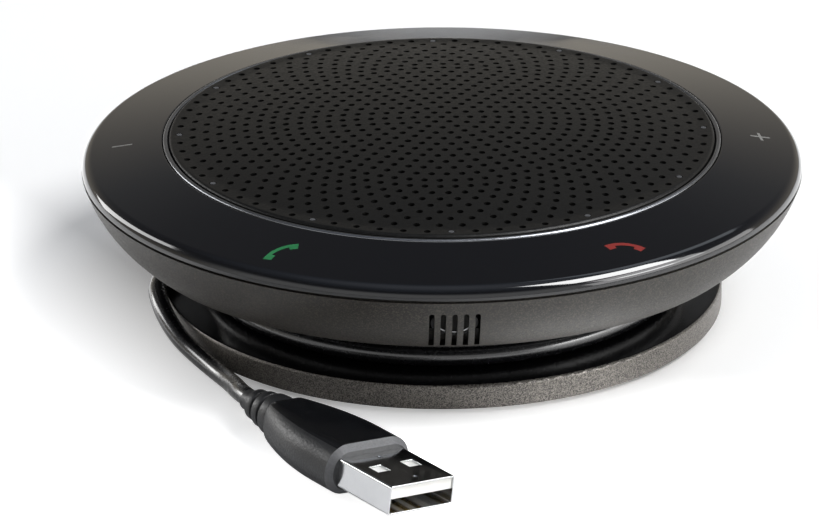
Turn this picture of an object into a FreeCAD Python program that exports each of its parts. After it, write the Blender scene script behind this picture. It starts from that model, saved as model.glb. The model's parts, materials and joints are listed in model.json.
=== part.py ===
import FreeCAD, Part
import math
import os

# Conference speakerphone: a round, bowl-shaped body with a domed loudspeaker
# grille, a ring of touch keys round it, and a narrow neck that its own USB
# cord is wound on above a flat base. Millimetres, +Z up, the front is -Y.
# The origin is the middle of the rubber foot's underside.

os.makedirs("parts", exist_ok=True)

Vector = FreeCAD.Vector
ORIGIN = Vector(0, 0, 0)
UP = Vector(0, 0, 1)

# ------------------------------------------------------------ general fits
fit_gap = 0.1            # beside parts that are glued or laid in a seat
side_gap = 0.3           # between mouldings, and round moving parts
wall = 2.0               # moulded outer walls
screw_radius = 1.25      # thread of the screws that hold the mouldings
screw_hole_gap = 0.15    # clearance hole round a screw
screw_head_radius = 2.1
screw_head_height = 1.4
pilot_radius = 1.0       # hole that the thread cuts into; the screws are drawn so
screw_bite = 4.0         # depth of thread in a boss
boss_radius = 2.8
boss_merge = 0.4         # bosses run this far into the wall beside them
small_pilot = 0.75       # screws that hold the board and the loudspeaker
small_screw_radius = 0.9
small_head_radius = 1.8
small_head_height = 1.2
small_screw_length = 4.0
screw_count = 4
screw_angle = 45.0       # first screw of each ring of four

# ------------------------------------------------------------ outer sizes
body_radius = 57.5
bowl_flare = 7.1         # the bowl's bottom edge is this much smaller
bowl_height = 10.05
bowl_bulge = 0.95        # how far its side bows out from a straight cone
groove_height = 8.85     # open height of the cord groove
base_inset = 12.3        # the base's edge lies this far inside the ring's
base_height = 3.95
foot_proud = 0.8         # the foot stands this far below the base
ring_width = 12.9
neck_inset = 24.3

# ------------------------------------------------------------ base
base_floor = 1.8         # thickness of the base plate inside its rim
base_rim_width = 2.0
base_edge = 0.5          # rounding of the rim's top edge
foot_inset = 4.7
foot_width = 6.0
foot_thickness = 1.3
foot_lip_width = 0.8     # lips of the channel that holds the foot
foot_lip_height = 0.4

# ------------------------------------------------------------ bowl
rim_width = 1.5          # thickness of the bowl's bottom edge
joint_gap = 0.3          # dark joint line between bowl and touch ring
joint_step = 0.6         # depth of that line
cover_thickness = 2.0
cover_recess = 0.3       # underside cover set in from the bowl's edge
cover_boss_height = 4.0  # bosses that the neck is screwed to
ledge_thickness = 1.5

# ------------------------------------------------------------ touch ring
skirt_height = 1.5
skirt_draft = 0.2
bevel_width = 1.2
bevel_height = 0.6
ring_rise = 2.2          # how far the ring's top climbs towards the grille
ring_thickness = 1.4
skirt_thickness = 1.3
film_thickness = 0.3
film_inset = 0.6
trim_width = 0.85
trim_seat_depth = 1.05
trim_proud = 0.2         # its rounded top stands above the ring

# ------------------------------------------------------------ grille
grille_thickness = 1.0
grille_rim_proud = 0.55  # grille rim above the ring's inner edge
crown_rise = 2.4
window_inset = 2.75      # ring of light windows inside the touch ring
window_radius = 0.6
window_count = 12
window_sides = 12
facet_inset = 0.75       # the dome starts this far inside the windows
facet_sides = 24         # the dome is folded from flat facets
facet_rows = 4
facet_turn = 2.5         # degrees; keeps the folds between the outer holes
hole_radius = 0.55
hole_sides = 6
hole_pitch = 2.26        # between the inner rings of holes, of 6, 12, 18 ...
outer_pitch = 2.12       # between the outer rings of holes, all of one count
outer_rings = 8
outer_count = 72
# The real sheet has every hole of every ring: hole_share = 1 gives all 973.
# Every second hole of each ring keeps the model light.
hole_share = 2
cloth_thickness = 0.25
cloth_inset = 0.8

# ------------------------------------------------------------ inner frame
frame_wall = 1.8
frame_ledge = 0.75       # seat of the grille's rim
frame_fillet = (1.4, 0.6) # slope in the corner under the deck
deck_thickness = 1.6
tongue_height = 0.85     # tongue that locates the frame in the bowl
tongue_width = 1.7
baffle_depth = 3.6       # baffle top below the grille's seat
baffle_thickness = 1.8
speaker_opening = 26.0
pillar_offset = 1.0      # screw pillars outside the touch ring's inner edge

# ------------------------------------------------------------ light ring
led_board_thickness = 1.0
led_board_width = 3.4
led_size = 1.6
led_height = 0.7
guide_width = 1.8
guide_thickness = 1.3
pin_radius = 0.45

# ------------------------------------------------------------ loudspeaker
gasket_thickness = 0.6
flange_inner = 24.8
flange_outer = 28.8
flange_thickness = 1.0
ear_offset = 1.8         # ears' middles outside the flange
ear_radius = 2.4
basket_depth = 12.0      # flange top to the magnet's top plate
basket_clearance = 4.7   # its back inside the cover's opening
basket_sheet = 1.0
basket_windows = 6
window_span = 34.0       # degrees of each basket window
window_margin = 1.0      # sheet left above and below a basket window
spider_seat_height = 1.4
spider_seat_width = 1.9
spider_sheet = 0.3
spider_fold = 0.6        # height of its waves
spider_folds = 6
top_plate_thickness = 1.5
magnet_thickness = 4.0
magnet_radius = 15.5
magnet_bore = 9.0
yoke_thickness = 1.5
yoke_inset = 0.5
pole_radius = 6.2
coil_gap = 0.3
former_thickness = 0.3
winding_thickness = 0.4
winding_height = 4.6
cone_sheet = 0.5
cone_radius = 21.0
cone_depth = 7.2
dust_cap_radius = 7.8
dust_cap_rise = 2.0
dust_cap_sheet = 0.3
surround_sheet = 0.4
surround_inner_land = 1.2
surround_outer_land = 2.3
surround_rise = 1.5

# ------------------------------------------------------------ electronics
board_inset = 2.6        # main board inside the touch ring's inner edge
board_thickness = 1.2
board_height = 3.0       # above the cover
board_boss_radius = 2.5
board_screw_inset = 3.0
board_screw_angle = 30.0
shield_size = (9.0, 14.0, 1.8)
shield_angle = 165.0
chip_sizes = [(7.0, 7.0, 0.9), (5.0, 5.0, 0.9), (4.0, 6.0, 0.9)]
chip_angles = [75.0, 255.0, 345.0]
capacitor_radius = 1.75
capacitor_height = 2.5
capacitor_angles = [62.0, 72.0, 330.0]
header_size = (4.0, 8.0, 1.9)
header_inset = 0.5

# ------------------------------------------------------------ microphone
slot_count = 5
slot_width = 0.8
slot_pitch = 1.72
slot_height = 7.5
slot_low = 0.5           # bottom of the slots above the bowl's edge
capsule_radius = 3.0
capsule_length = 2.2
capsule_depth = 1.5      # its face below the bowl's outside
capsule_drop = 0.2
boot_thickness = 0.5
boot_length = 1.6
mic_bay_width = 10.0

# ------------------------------------------------------------ headset socket
jack_angle = 90.0
jack_bore = 1.8
jack_depth = 12.0
jack_barrel = 2.5
jack_inset = 2.9         # its face inside the ring's edge
jack_body = (8.2, 7.0, 4.8)
jack_height = 6.3        # bore axis above the bowl's edge

# ------------------------------------------------------------ cord and plug
cord_radius = 1.5
turns_across = 2
turns_high = 2
grommet_angle = 237.0
grommet_radius = 2.2
# Route of the free end, from inside the winding, over the base's rim, down
# beside it and along the table to the plug. The points are chosen by hand.
cord_route = [
    (-32.5, 19.6, 6.4),
    (-39.6, 6.9, 6.6),
    (-46.1, -7.6, 6.9),
    (-44.6, -17.6, 4.9),
    (-40.9, -24.6, 2.4),
    (-37.2, -33.0, 1.8),
    (-34.72, -43.49, 4.5),
    (-31.1, -48.4, 4.5),
]
plug_heading = -53.6     # degrees from +X
plug_lean = -8.0         # degrees; the plug lies over on one edge
relief_length = 9.0
relief_radius = 2.4
relief_end_radius = 3.3
relief_ribs = 3
relief_taper = 0.1       # each rib widens by this
relief_groove = 0.5      # depth of the grooves between the ribs
rib_share = 0.62         # of the ribs' pitch: a rib, a groove's floor, its side
groove_share = 0.26
slope_share = 0.06
overmould_length = 21.4
overmould_width = 15.6
overmould_height = 7.8
overmould_neck = 8.0     # its width at the cord
overmould_bevel = 1.2
shoulder_at = 0.35       # share of its length where it is shoulder_width wide
shoulder_width = 0.82    # shares of the full width and height there
shoulder_height = 0.97
full_at = 0.7            # share of its length where it reaches full size
shell_width = 12.0
shell_height = 4.5
shell_length = 12.2
shell_sheet = 0.3
shell_corner = 0.45      # rounding along its folded corners
shell_hole = 2.3
shell_hole_offset = 2.9
shell_hole_setback = 6.6 # middle of the windows behind the open end
tongue_plate_height = 1.75
tongue_setback = 0.3     # behind the shell's open end
contact_count = 4
contact_pitch = 2.3
contact_size = (8.0, 1.1, 0.1)
contact_setback = 1.3

# ------------------------------------------------------------ radii
rim_radius = body_radius - bowl_flare
neck_radius = body_radius - neck_inset
base_radius = body_radius - base_inset
ring_inner = body_radius - ring_width
ring_edge = body_radius - skirt_draft - bevel_width
foot_outer = base_radius - foot_inset
foot_inner = foot_outer - foot_width
neck_inner = neck_radius - wall
window_circle = ring_inner - window_inset
facet_radius = window_circle - facet_inset
cloth_radius = facet_radius - cloth_inset
guide_outer = window_circle + guide_width / 2 - fit_gap
guide_inner = guide_outer - guide_width
frame_wall_inner = guide_outer + fit_gap
frame_wall_outer = frame_wall_inner + frame_wall
trim_outer = ring_inner - fit_gap
trim_inner = trim_outer - trim_width
grille_radius = trim_inner - fit_gap
base_screw_circle = neck_inner - boss_radius + boss_merge
cover_screw_circle = ring_inner + pillar_offset
cover_opening = base_screw_circle - 2 * boss_radius
basket_back = cover_opening - basket_clearance
board_inner = base_screw_circle + boss_radius + 2 * side_gap
board_outer = ring_inner - board_inset
board_middle = (board_inner + board_outer) / 2
board_screw_circle = board_outer - board_screw_inset
ledge_inner = board_outer + side_gap
ear_circle = flange_outer + ear_offset
jack_face = body_radius - jack_inset
former_inner = pole_radius + coil_gap
former_outer = former_inner + former_thickness
coil_outer = former_outer + winding_thickness
plate_bore = coil_outer + coil_gap
cone_neck = former_outer + fit_gap
yoke_radius = magnet_radius - yoke_inset
cord_pitch = 2 * cord_radius
small_hole = small_screw_radius + screw_hole_gap

# ------------------------------------------------------------ levels
base_bottom = foot_proud
base_top = base_bottom + base_height
floor_bottom = base_top - base_floor
bowl_bottom = base_top + groove_height
joint_z = bowl_bottom + bowl_height
skirt_bottom = joint_z + joint_gap
skirt_top = skirt_bottom + skirt_height
bevel_top = skirt_top + bevel_height
lip_top = bevel_top + ring_rise
trim_seat = lip_top - trim_seat_depth
cover_bottom = bowl_bottom + cover_recess
cover_top = cover_bottom + cover_thickness
ledge_top = cover_top + ledge_thickness
board_bottom = cover_top + board_height
board_top = board_bottom + board_thickness
jack_z = bowl_bottom + jack_height
grille_rim_top = lip_top + grille_rim_proud
grille_seat = grille_rim_top - grille_thickness
baffle_top = grille_seat - baffle_depth
baffle_bottom = baffle_top - baffle_thickness
flange_top = baffle_top + gasket_thickness + flange_thickness
flange_bottom = flange_top - flange_thickness
plate_top = flange_top - basket_depth
basket_floor = plate_top + basket_sheet
spider_seat = basket_floor + spider_seat_height
magnet_top = plate_top - top_plate_thickness
magnet_bottom = magnet_top - magnet_thickness
yoke_bottom = magnet_bottom - yoke_thickness
cone_low = flange_top - side_gap - cone_sheet - cone_depth
former_top = cone_low + 2 * cone_sheet
gap_middle = (plate_top + magnet_top) / 2


# ------------------------------------------------------------ helpers
def outline(start, *steps):
    """Closed wire in the XZ plane; a step is a point or an arc's (middle, end)."""
    edges = []
    here = start
    for step in steps + (start,):
        if isinstance(step[0], tuple):
            middle, end = step
            arc = Part.Arc(*(Vector(r, 0, z) for r, z in (here, middle, end)))
            edges.append(arc.toShape())
        else:
            end = step
            edges.append(Part.makeLine(Vector(here[0], 0, here[1]), Vector(end[0], 0, end[1])))
        here = end
    return Part.Wire(edges)


def turned(start, *steps):
    return Part.Face(outline(start, *steps)).revolve(ORIGIN, UP, 360)


def ring(inner, outer, low, high):
    return turned((inner, low), (outer, low), (outer, high), (inner, high))


def rod(radius, low, high, place=ORIGIN):
    return Part.makeCylinder(radius, high - low, place + Vector(0, 0, low))


def block(size, centre):
    """Box of the given size about a centre point."""
    x, y, z = size
    return Part.makeBox(x, y, z, centre - Vector(x / 2, y / 2, z / 2))


def around(count, radius, first=0.0):
    """Points on a circle, the first at an angle in degrees from +X."""
    angles = [math.radians(first + 360 * i / count) for i in range(count)]
    return [Vector(radius * math.cos(a), radius * math.sin(a), 0) for a in angles]


def bowed(start, end, bulge):
    """Arc step from start to end that bows to the right of its travel."""
    dr, dz = end[0] - start[0], end[1] - start[1]
    length = math.hypot(dr, dz)
    middle = ((start[0] + end[0]) / 2 + bulge * dz / length,
              (start[1] + end[1]) / 2 - bulge * dr / length)
    return (middle, end)


def polygon(sides, radius, centre, turn=0.0):
    """Closed regular polygon round a centre, its first corner at turn degrees."""
    corners = [centre + corner for corner in around(sides, radius, turn)]
    return Part.makePolygon(corners + corners[:1])


def swung(shape, angle):
    """Copy of a shape turned about the main axis, in degrees."""
    copy = shape.copy()
    copy.rotate(ORIGIN, UP, angle)
    return copy


def pan_screw(shank, head, head_height, length, seat, place, down=True):
    """Screw whose head bears on the level seat; it points down or up."""
    sign = -1 if down else 1
    screw = turned((0, seat + sign * length), (shank, seat + sign * length), (shank, seat),
                   (head, seat), (head, seat - sign * head_height), (0, seat - sign * head_height))
    screw.translate(place)
    return screw


def flat_screw(shank, head, length, seat, place):
    """Countersunk screw, pointing up, whose head lies flush with the level seat."""
    screw = turned((0, seat), (head, seat), (shank, seat + head - shank), (shank, seat + length),
                   (0, seat + length))
    screw.translate(place)
    return screw


def save(name, shape):
    shape.exportStep(f"parts/{name}.step")


# ------------------------------------------------------------ shared places
base_screws = around(screw_count, base_screw_circle, screw_angle)
cover_screws = around(screw_count, cover_screw_circle, screw_angle)
board_screws = around(screw_count, board_screw_circle, board_screw_angle)
ears = around(screw_count, ear_circle, screw_angle)
windows = around(window_count, window_circle)


def ring_top(radius):
    """Height of the touch ring's sloping top at a radius."""
    return bevel_top + ring_rise * (ring_edge - radius) / (ring_edge - ring_inner)


def deck_top(radius):
    """The frame's deck lies below the ring and the film under it."""
    return ring_top(radius) - ring_thickness - film_thickness - 2 * fit_gap


# ------------------------------------------------------------ base and neck
def make_base_plate():
    lip = foot_thickness - foot_lip_height
    rim_inner = base_radius - base_rim_width
    seat_inner, seat_outer = foot_inner - fit_gap, foot_outer + fit_gap
    round_middle = base_edge * (1 - math.sqrt(0.5))
    plate = turned(
        (0, floor_bottom), (seat_inner - foot_lip_width, floor_bottom),
        (seat_inner - foot_lip_width, lip),
        (seat_inner, lip), (seat_inner, foot_thickness), (seat_outer, foot_thickness),
        (seat_outer, lip), (seat_outer + foot_lip_width, lip),
        (seat_outer + foot_lip_width, floor_bottom), (rim_inner, floor_bottom),
        (rim_inner, base_bottom),
        (base_radius, base_bottom), (base_radius, base_top - base_edge),
        ((base_radius - round_middle, base_top - round_middle), (base_radius - base_edge, base_top)),
        (0, base_top))
    holes = [rod(screw_radius + screw_hole_gap, 0, base_top, p) for p in base_screws]
    return plate.cut(holes)


def make_foot_ring():
    return ring(foot_inner, foot_outer, 0, foot_thickness)


def make_cord_spool():
    """The neck that the cord is wound on, with its screw bosses inside."""
    spool = ring(neck_inner, neck_radius, base_top, cover_bottom)
    spool = spool.fuse([rod(boss_radius, base_top, cover_bottom, p) for p in base_screws])
    spool = spool.cut([rod(screw_radius + screw_hole_gap, 0, cover_bottom, p) for p in base_screws])
    return spool.cut(radial_rod(grommet_radius + fit_gap, neck_inner - wall, neck_radius + wall))


def radial_rod(radius, near, far):
    """Round bar through the neck's wall, level with the lowest turn of cord."""
    height = base_top + fit_gap + cord_radius
    bar = Part.makeCylinder(radius, far - near, Vector(near, 0, height), Vector(1, 0, 0))
    return swung(bar, grommet_angle)


def make_cord_grommet():
    """Bush moulded on the cord; it stands on the base in the neck's notch."""
    bush = radial_rod(grommet_radius, neck_inner - wall, neck_radius + wall)
    return bush.common(ring(neck_inner - wall / 2, neck_radius, base_top, cover_bottom))


# ------------------------------------------------------------ bowl
def bowl_side(height):
    """Radius of the straight cone under the bowl's bowed side."""
    return rim_radius + (body_radius - rim_radius) * (height - bowl_bottom) / bowl_height


def make_bottom_cover():
    """Underside of the bowl; it carries the main board."""
    outer = rim_radius - rim_width - side_gap
    cover = ring(cover_opening, outer, cover_bottom, cover_top)
    top_of_boss = cover_top + cover_boss_height
    cover = cover.fuse([rod(boss_radius, cover_bottom, top_of_boss, p) for p in base_screws]
                       + [rod(board_boss_radius, cover_bottom, board_bottom, p) for p in board_screws])
    pilots = [rod(pilot_radius, cover_bottom, top_of_boss - board_thickness, p) for p in base_screws]
    pilots += [rod(small_pilot, cover_top, board_bottom, p) for p in board_screws]
    passages = [rod(screw_radius + screw_hole_gap, cover_bottom, cover_top, p) for p in cover_screws]
    sink = screw_head_radius + fit_gap
    sinks = [Part.makeCone(sink, screw_radius, sink - screw_radius, p + Vector(0, 0, cover_bottom))
             for p in cover_screws]
    return cover.cut(pilots + passages + sinks)


def mic_axis():
    """Middle of the bowl's side at the front, and its outward direction."""
    run = body_radius - rim_radius
    slant = math.hypot(run, bowl_height)
    outward = Vector(0, -bowl_height / slant, -run / slant)
    along = Vector(0, -run / slant, bowl_height / slant)
    middle = Vector(0, -(body_radius + rim_radius) / 2, bowl_bottom + bowl_height / 2)
    return middle + outward * bowl_bulge - along * capsule_drop, outward


def mic_bar(radius, near, far):
    """Round bar on the microphone's axis, by depth below the bowl's outside."""
    point, outward = mic_axis()
    return Part.makeCylinder(radius, far - near, point - outward * far, outward)


def mic_slot(offset):
    """One upright slot through the bowl, rounded at its top."""
    low = bowl_bottom + slot_low
    high = low + slot_height - slot_width / 2
    near = -body_radius - wall
    far = -(rim_radius - rim_width)
    left, right = offset - slot_width / 2, offset + slot_width / 2
    face = Part.Face(Part.Wire([
        Part.makeLine(Vector(left, near, low), Vector(right, near, low)),
        Part.makeLine(Vector(right, near, low), Vector(right, near, high)),
        Part.Arc(Vector(right, near, high), Vector(offset, near, high + slot_width / 2),
                 Vector(left, near, high)).toShape(),
        Part.makeLine(Vector(left, near, high), Vector(left, near, low))]))
    return face.extrude(Vector(0, far - near, 0))


def make_lower_shell():
    thickness = wall * math.hypot(body_radius - rim_radius, bowl_height) / bowl_height
    bend_low = (bowl_side(ledge_top) - thickness + bowl_bulge, ledge_top)
    bend_high = (body_radius - wall - fit_gap * 2, joint_z - wall / 2)
    shell = turned(
        (rim_radius - rim_width, bowl_bottom), (rim_radius, bowl_bottom),
        bowed((rim_radius, bowl_bottom), (body_radius, joint_z), bowl_bulge),
        (body_radius - joint_step, joint_z), (body_radius - joint_step, skirt_bottom),
        (bend_high[0], skirt_bottom), bend_high,
        bowed(bend_high, bend_low, -bowl_bulge / 2),
        (ledge_inner, ledge_top), (ledge_inner, cover_top),
        (rim_radius - rim_width, cover_top))
    shell = shell.cut([rod(screw_radius + screw_hole_gap, cover_top, ledge_top, p)
                       for p in cover_screws])
    bay = Part.makeBox(mic_bay_width, wall * 4, ledge_thickness,
                       Vector(-mic_bay_width / 2, -(rim_radius - rim_width), cover_top))
    first = -(slot_count - 1) / 2
    slots = [mic_slot((first + i) * slot_pitch) for i in range(slot_count)]
    pocket = mic_bar(capsule_radius + boot_thickness + 2 * fit_gap, capsule_depth - fit_gap,
                     capsule_depth + 2 * wall)
    jack_hole = jack_bar(jack_barrel + fit_gap, jack_face - 2 * wall, body_radius)
    return shell.cut([bay, pocket, jack_hole] + slots)


# ------------------------------------------------------------ touch ring
def make_touch_ring():
    under = ring_top(ring_inner) - ring_thickness
    skirt_inner = body_radius - skirt_thickness
    return turned(
        (skirt_inner, skirt_bottom), (body_radius, skirt_bottom),
        (body_radius - skirt_draft, skirt_top), (ring_edge, bevel_top),
        (ring_inner, lip_top), (ring_inner, under),
        (skirt_inner, ring_top(skirt_inner) - ring_thickness))


def make_touch_film():
    """Flexible print with the electrodes of the touch keys."""
    inner, outer = ring_inner + film_inset, body_radius - skirt_thickness - side_gap
    drop = ring_thickness + fit_gap
    return turned(
        (inner, ring_top(inner) - drop - film_thickness),
        (outer, ring_top(outer) - drop - film_thickness),
        (outer, ring_top(outer) - drop), (inner, ring_top(inner) - drop))


def make_grille_trim():
    """Narrow polished hoop between the grille and the touch ring."""
    shoulder = lip_top - trim_width / 4
    middle = (trim_inner + trim_outer) / 2
    return turned(
        (trim_inner, trim_seat), (trim_outer, trim_seat), (trim_outer, shoulder),
        ((middle, lip_top + trim_proud), (trim_inner, shoulder)))


# ------------------------------------------------------------ grille
def dome(base_level):
    """Solid dome, folded from flat facets, that stands on a level."""
    rows = []
    for row in range(facet_rows, 0, -1):
        share = row / facet_rows
        level = Vector(0, 0, base_level + crown_rise * (1 - share ** 2))
        rows.append([level + p for p in around(facet_sides, facet_radius * share, facet_turn)])
    faces = [Part.Face(Part.makePolygon(row + row[:1])) for row in (rows[0], rows[-1])]
    for low, high in zip(rows, rows[1:]):
        for i in range(facet_sides):
            corners = [low[i - 1], low[i], high[i], high[i - 1]]
            faces.append(Part.Face(Part.makePolygon(corners + corners[:1])))
    return Part.makeSolid(Part.makeShell(faces))


def dome_sheet(edge_radius, level, thickness):
    """Sheet of one thickness that follows the dome out to a round edge."""
    slab = rod(edge_radius, level - thickness, level)
    cap = dome(level).common(rod(edge_radius, level - thickness, level + 2 * crown_rise))
    return slab.fuse(cap).cut(dome(level - thickness))


def grille_holes():
    """Centres of the holes: a middle one, rings of six more each, then rings of one count."""
    inner_rings = int((window_circle - outer_rings * outer_pitch) / hole_pitch)
    centres = [ORIGIN]
    for row in range(1, inner_rings + 1):
        centres += around(6 * row // hole_share, row * hole_pitch)
    for row in range(outer_rings):
        first = 180 / outer_count if row % 2 else 0
        centres += around(outer_count // hole_share, window_circle - row * outer_pitch, first)
    reach = hole_radius + window_radius
    return [c for c in centres if min((c - w).Length for w in windows) > reach]


def make_speaker_grille():
    sheet = dome_sheet(grille_radius, grille_rim_top, grille_thickness)
    low = Vector(0, 0, grille_seat - wall)
    through = Vector(0, 0, crown_rise + 2 * wall)
    cutters = []
    for centre in grille_holes():
        turn = math.degrees(math.atan2(centre.y, centre.x))
        cutters.append(Part.Face(polygon(hole_sides, hole_radius, centre + low, turn)))
    cutters += [Part.Face(polygon(window_sides, window_radius, w + low)) for w in windows]
    return sheet.cut(Part.makeCompound([face.extrude(through) for face in cutters]))


def make_grille_cloth():
    """Black acoustic cloth glued under the dome."""
    return dome_sheet(cloth_radius, grille_seat - fit_gap, cloth_thickness)


# ------------------------------------------------------------ inner frame
def make_upper_frame():
    """Carries the touch ring, grille, lights and loudspeaker on one moulding."""
    deck_outer = body_radius - skirt_thickness - side_gap
    tongue_outer = body_radius - wall - 2 * fit_gap - side_gap
    tongue_inner = tongue_outer - tongue_width
    ledge_outer = frame_wall_inner + frame_ledge
    under = frame_wall_outer + frame_fillet[0]
    frame = turned(
        (speaker_opening, baffle_bottom), (frame_wall_outer, baffle_bottom),
        (frame_wall_outer, deck_top(frame_wall_outer) - deck_thickness - frame_fillet[1]),
        (under, deck_top(under) - deck_thickness),
        (tongue_inner, deck_top(tongue_inner) - deck_thickness),
        (tongue_inner, skirt_bottom - tongue_height), (tongue_outer, skirt_bottom - tongue_height),
        (tongue_outer, skirt_bottom), (deck_outer, skirt_bottom),
        (deck_outer, deck_top(deck_outer)), (trim_outer - fit_gap, deck_top(trim_outer)),
        (trim_outer - fit_gap, trim_seat), (ledge_outer, trim_seat),
        (ledge_outer, grille_seat), (frame_wall_inner, grille_seat),
        (frame_wall_inner, baffle_top), (speaker_opening, baffle_top))
    pillars = [rod(boss_radius, ledge_top, deck_top(cover_screw_circle) - deck_thickness / 2, p)
               for p in cover_screws]
    pilots = [rod(pilot_radius, ledge_top, baffle_bottom, p) for p in cover_screws]
    pilots += [rod(small_pilot, baffle_bottom, baffle_top, p) for p in ears]
    return frame.fuse(pillars).cut(pilots)


# ------------------------------------------------------------ light ring
def make_led_board():
    outer = frame_wall_inner - fit_gap
    return ring(outer - led_board_width, outer, baffle_top, baffle_top + led_board_thickness)


def make_leds():
    """One light-emitting diode under each pin of the light guide."""
    level = baffle_top + led_board_thickness + led_height / 2
    lamp = block((led_size, led_size, led_height), Vector(window_circle - 2 * fit_gap, 0, level))
    return Part.makeCompound([swung(lamp, 360 * i / window_count) for i in range(window_count)])


def make_light_guide():
    """Clear ring with a round pin up into every window of the grille."""
    top = grille_seat - fit_gap
    guide = ring(guide_inner, guide_outer, top - guide_thickness, top)
    return guide.fuse([rod(pin_radius, top - guide_thickness / 2, grille_rim_top, w)
                       for w in windows])


# ------------------------------------------------------------ loudspeaker
def make_speaker_gasket():
    return ring(speaker_opening + side_gap, flange_outer, baffle_top, baffle_top + gasket_thickness)


def basket_radius(level):
    """Outside of the basket's cone at a height."""
    share = (level - basket_floor) / (flange_bottom - basket_floor)
    return basket_back + (flange_inner + basket_sheet - basket_back) * share


def make_speaker_basket():
    """Pressed steel basket with windows in its cone and four ears."""
    seat_outer = basket_radius(spider_seat) - basket_sheet
    seat_inner = seat_outer - spider_seat_width
    basket = turned(
        (plate_bore, plate_top), (basket_back, plate_top), (basket_back, basket_floor),
        (flange_inner + basket_sheet, flange_bottom), (flange_outer, flange_bottom),
        (flange_outer, flange_top), (flange_inner, flange_top), (flange_inner, flange_bottom),
        (seat_outer, spider_seat), (seat_inner, spider_seat), (seat_inner, basket_floor),
        (plate_bore, basket_floor))
    basket = basket.fuse([rod(ear_radius, flange_bottom, flange_top, p) for p in ears])
    holes = [rod(small_hole, flange_bottom, flange_top, p) for p in ears]
    band = ring(seat_outer - basket_sheet, flange_outer, spider_seat + window_margin,
                flange_bottom - window_margin)
    half = flange_outer * math.tan(math.radians(window_span / 2))
    wedge = Part.Face(Part.makePolygon([ORIGIN, Vector(flange_outer, -half, 0),
                                        Vector(flange_outer, half, 0), ORIGIN]))
    wedge.translate(Vector(0, 0, spider_seat))
    opening = wedge.extrude(Vector(0, 0, flange_bottom - spider_seat)).common(band)
    openings = [swung(opening, 360 * (i + 0.5) / basket_windows) for i in range(basket_windows)]
    return basket.cut(holes + openings)


def make_top_plate():
    return ring(plate_bore, magnet_radius, magnet_top, plate_top)


def make_magnet():
    return ring(magnet_bore, magnet_radius, magnet_bottom, magnet_top)


def make_yoke():
    """Back plate and pole piece in one."""
    return turned((0, yoke_bottom), (yoke_radius, yoke_bottom), (yoke_radius, magnet_bottom),
                  (pole_radius, magnet_bottom), (pole_radius, plate_top), (0, plate_top))


def make_voice_coil():
    """Former tube with the winding centred on the magnet's gap."""
    low = gap_middle - winding_height / 2
    high = gap_middle + winding_height / 2
    bottom = low - former_thickness
    return turned((former_inner, bottom), (former_outer, bottom), (former_outer, low),
                  (coil_outer, low), (coil_outer, high), (former_outer, high),
                  (former_outer, former_top), (former_inner, former_top))


def cone_height(radius):
    """Top of the cone's sheet at a radius."""
    share = (radius - cone_neck) / (cone_radius - cone_neck)
    return cone_low + cone_sheet + cone_depth * share


def make_speaker_cone():
    rim = cone_height(cone_radius)
    return turned((cone_neck, cone_low), (cone_radius, rim - cone_sheet), (cone_radius, rim),
                  (cone_neck, cone_low + cone_sheet))


def make_dust_cap():
    """Dished cap that closes the former and is glued on the cone."""
    foot = cone_height(dust_cap_radius) + fit_gap
    crown = foot + dust_cap_rise
    inner = dust_cap_radius - dust_cap_sheet
    dome_radius = (dust_cap_radius ** 2 + dust_cap_rise ** 2) / (2 * dust_cap_rise)
    half = dust_cap_radius / 2
    sag = dome_radius - math.sqrt(dome_radius ** 2 - half ** 2)
    return turned(
        (dust_cap_radius, foot), ((half, crown - sag), (0, crown)),
        (0, crown - dust_cap_sheet), ((half - dust_cap_sheet / 2, crown - sag - dust_cap_sheet),
                                      (inner, foot)))


def make_spider():
    """Corrugated disc that centres the voice coil."""
    outer = basket_radius(spider_seat) - basket_sheet - fit_gap
    step = (outer - cone_neck) / (spider_folds + 1)
    lower = [(cone_neck + step * i, spider_seat + spider_fold * (i % 2))
             for i in range(spider_folds + 1)] + [(outer, spider_seat)]
    upper = [(r, z + spider_sheet) for r, z in reversed(lower)]
    return turned(*lower, *upper)


def make_surround():
    """Half-roll of soft rubber between the cone and the basket's flange."""
    low = flange_top
    inner_land = cone_radius - surround_inner_land
    outer_land = flange_inner + surround_outer_land
    roll_in, roll_out = cone_radius + fit_gap, flange_inner + fit_gap
    middle = (roll_in + roll_out) / 2
    high = low + surround_sheet
    return turned(
        (inner_land, low), (roll_in, low), ((middle, low + surround_rise), (roll_out, low)),
        (outer_land, low), (outer_land, high),
        (roll_out, high), ((middle, high + surround_rise), (roll_in, high)), (inner_land, high))


# ------------------------------------------------------------ electronics
def make_main_board():
    board = ring(board_inner, board_outer, board_bottom, board_top)
    return board.cut([rod(small_hole, board_bottom, board_top, p) for p in board_screws])


def on_board(size, angle, radius=board_middle):
    """Box on top of the main board, at an angle round it."""
    return swung(block(size, Vector(radius, 0, board_top + size[2] / 2)), angle)


def make_shield_can():
    return on_board(shield_size, shield_angle)


def make_chips():
    return Part.makeCompound([on_board(size, angle) for size, angle in zip(chip_sizes, chip_angles)])


def make_capacitors():
    """Reservoir capacitors that hang under the board."""
    can = rod(capacitor_radius, board_bottom - capacitor_height, board_bottom,
              Vector(board_middle, 0, 0))
    return Part.makeCompound([swung(can, angle) for angle in capacitor_angles])


def make_cable_header():
    """Connector for the USB cord's wires, above the place where the cord comes in."""
    return on_board(header_size, grommet_angle, board_inner + header_size[0] / 2 + header_inset)


# ------------------------------------------------------------ microphone
def make_mic_capsule():
    return mic_bar(capsule_radius, capsule_depth, capsule_depth + capsule_length)


def make_mic_boot():
    """Rubber sleeve that seats the capsule in its pocket."""
    far = capsule_depth + boot_length
    inner = capsule_radius + fit_gap / 2
    sleeve = mic_bar(inner + boot_thickness, capsule_depth, far)
    return sleeve.cut(mic_bar(inner, 0, 2 * far))


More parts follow.
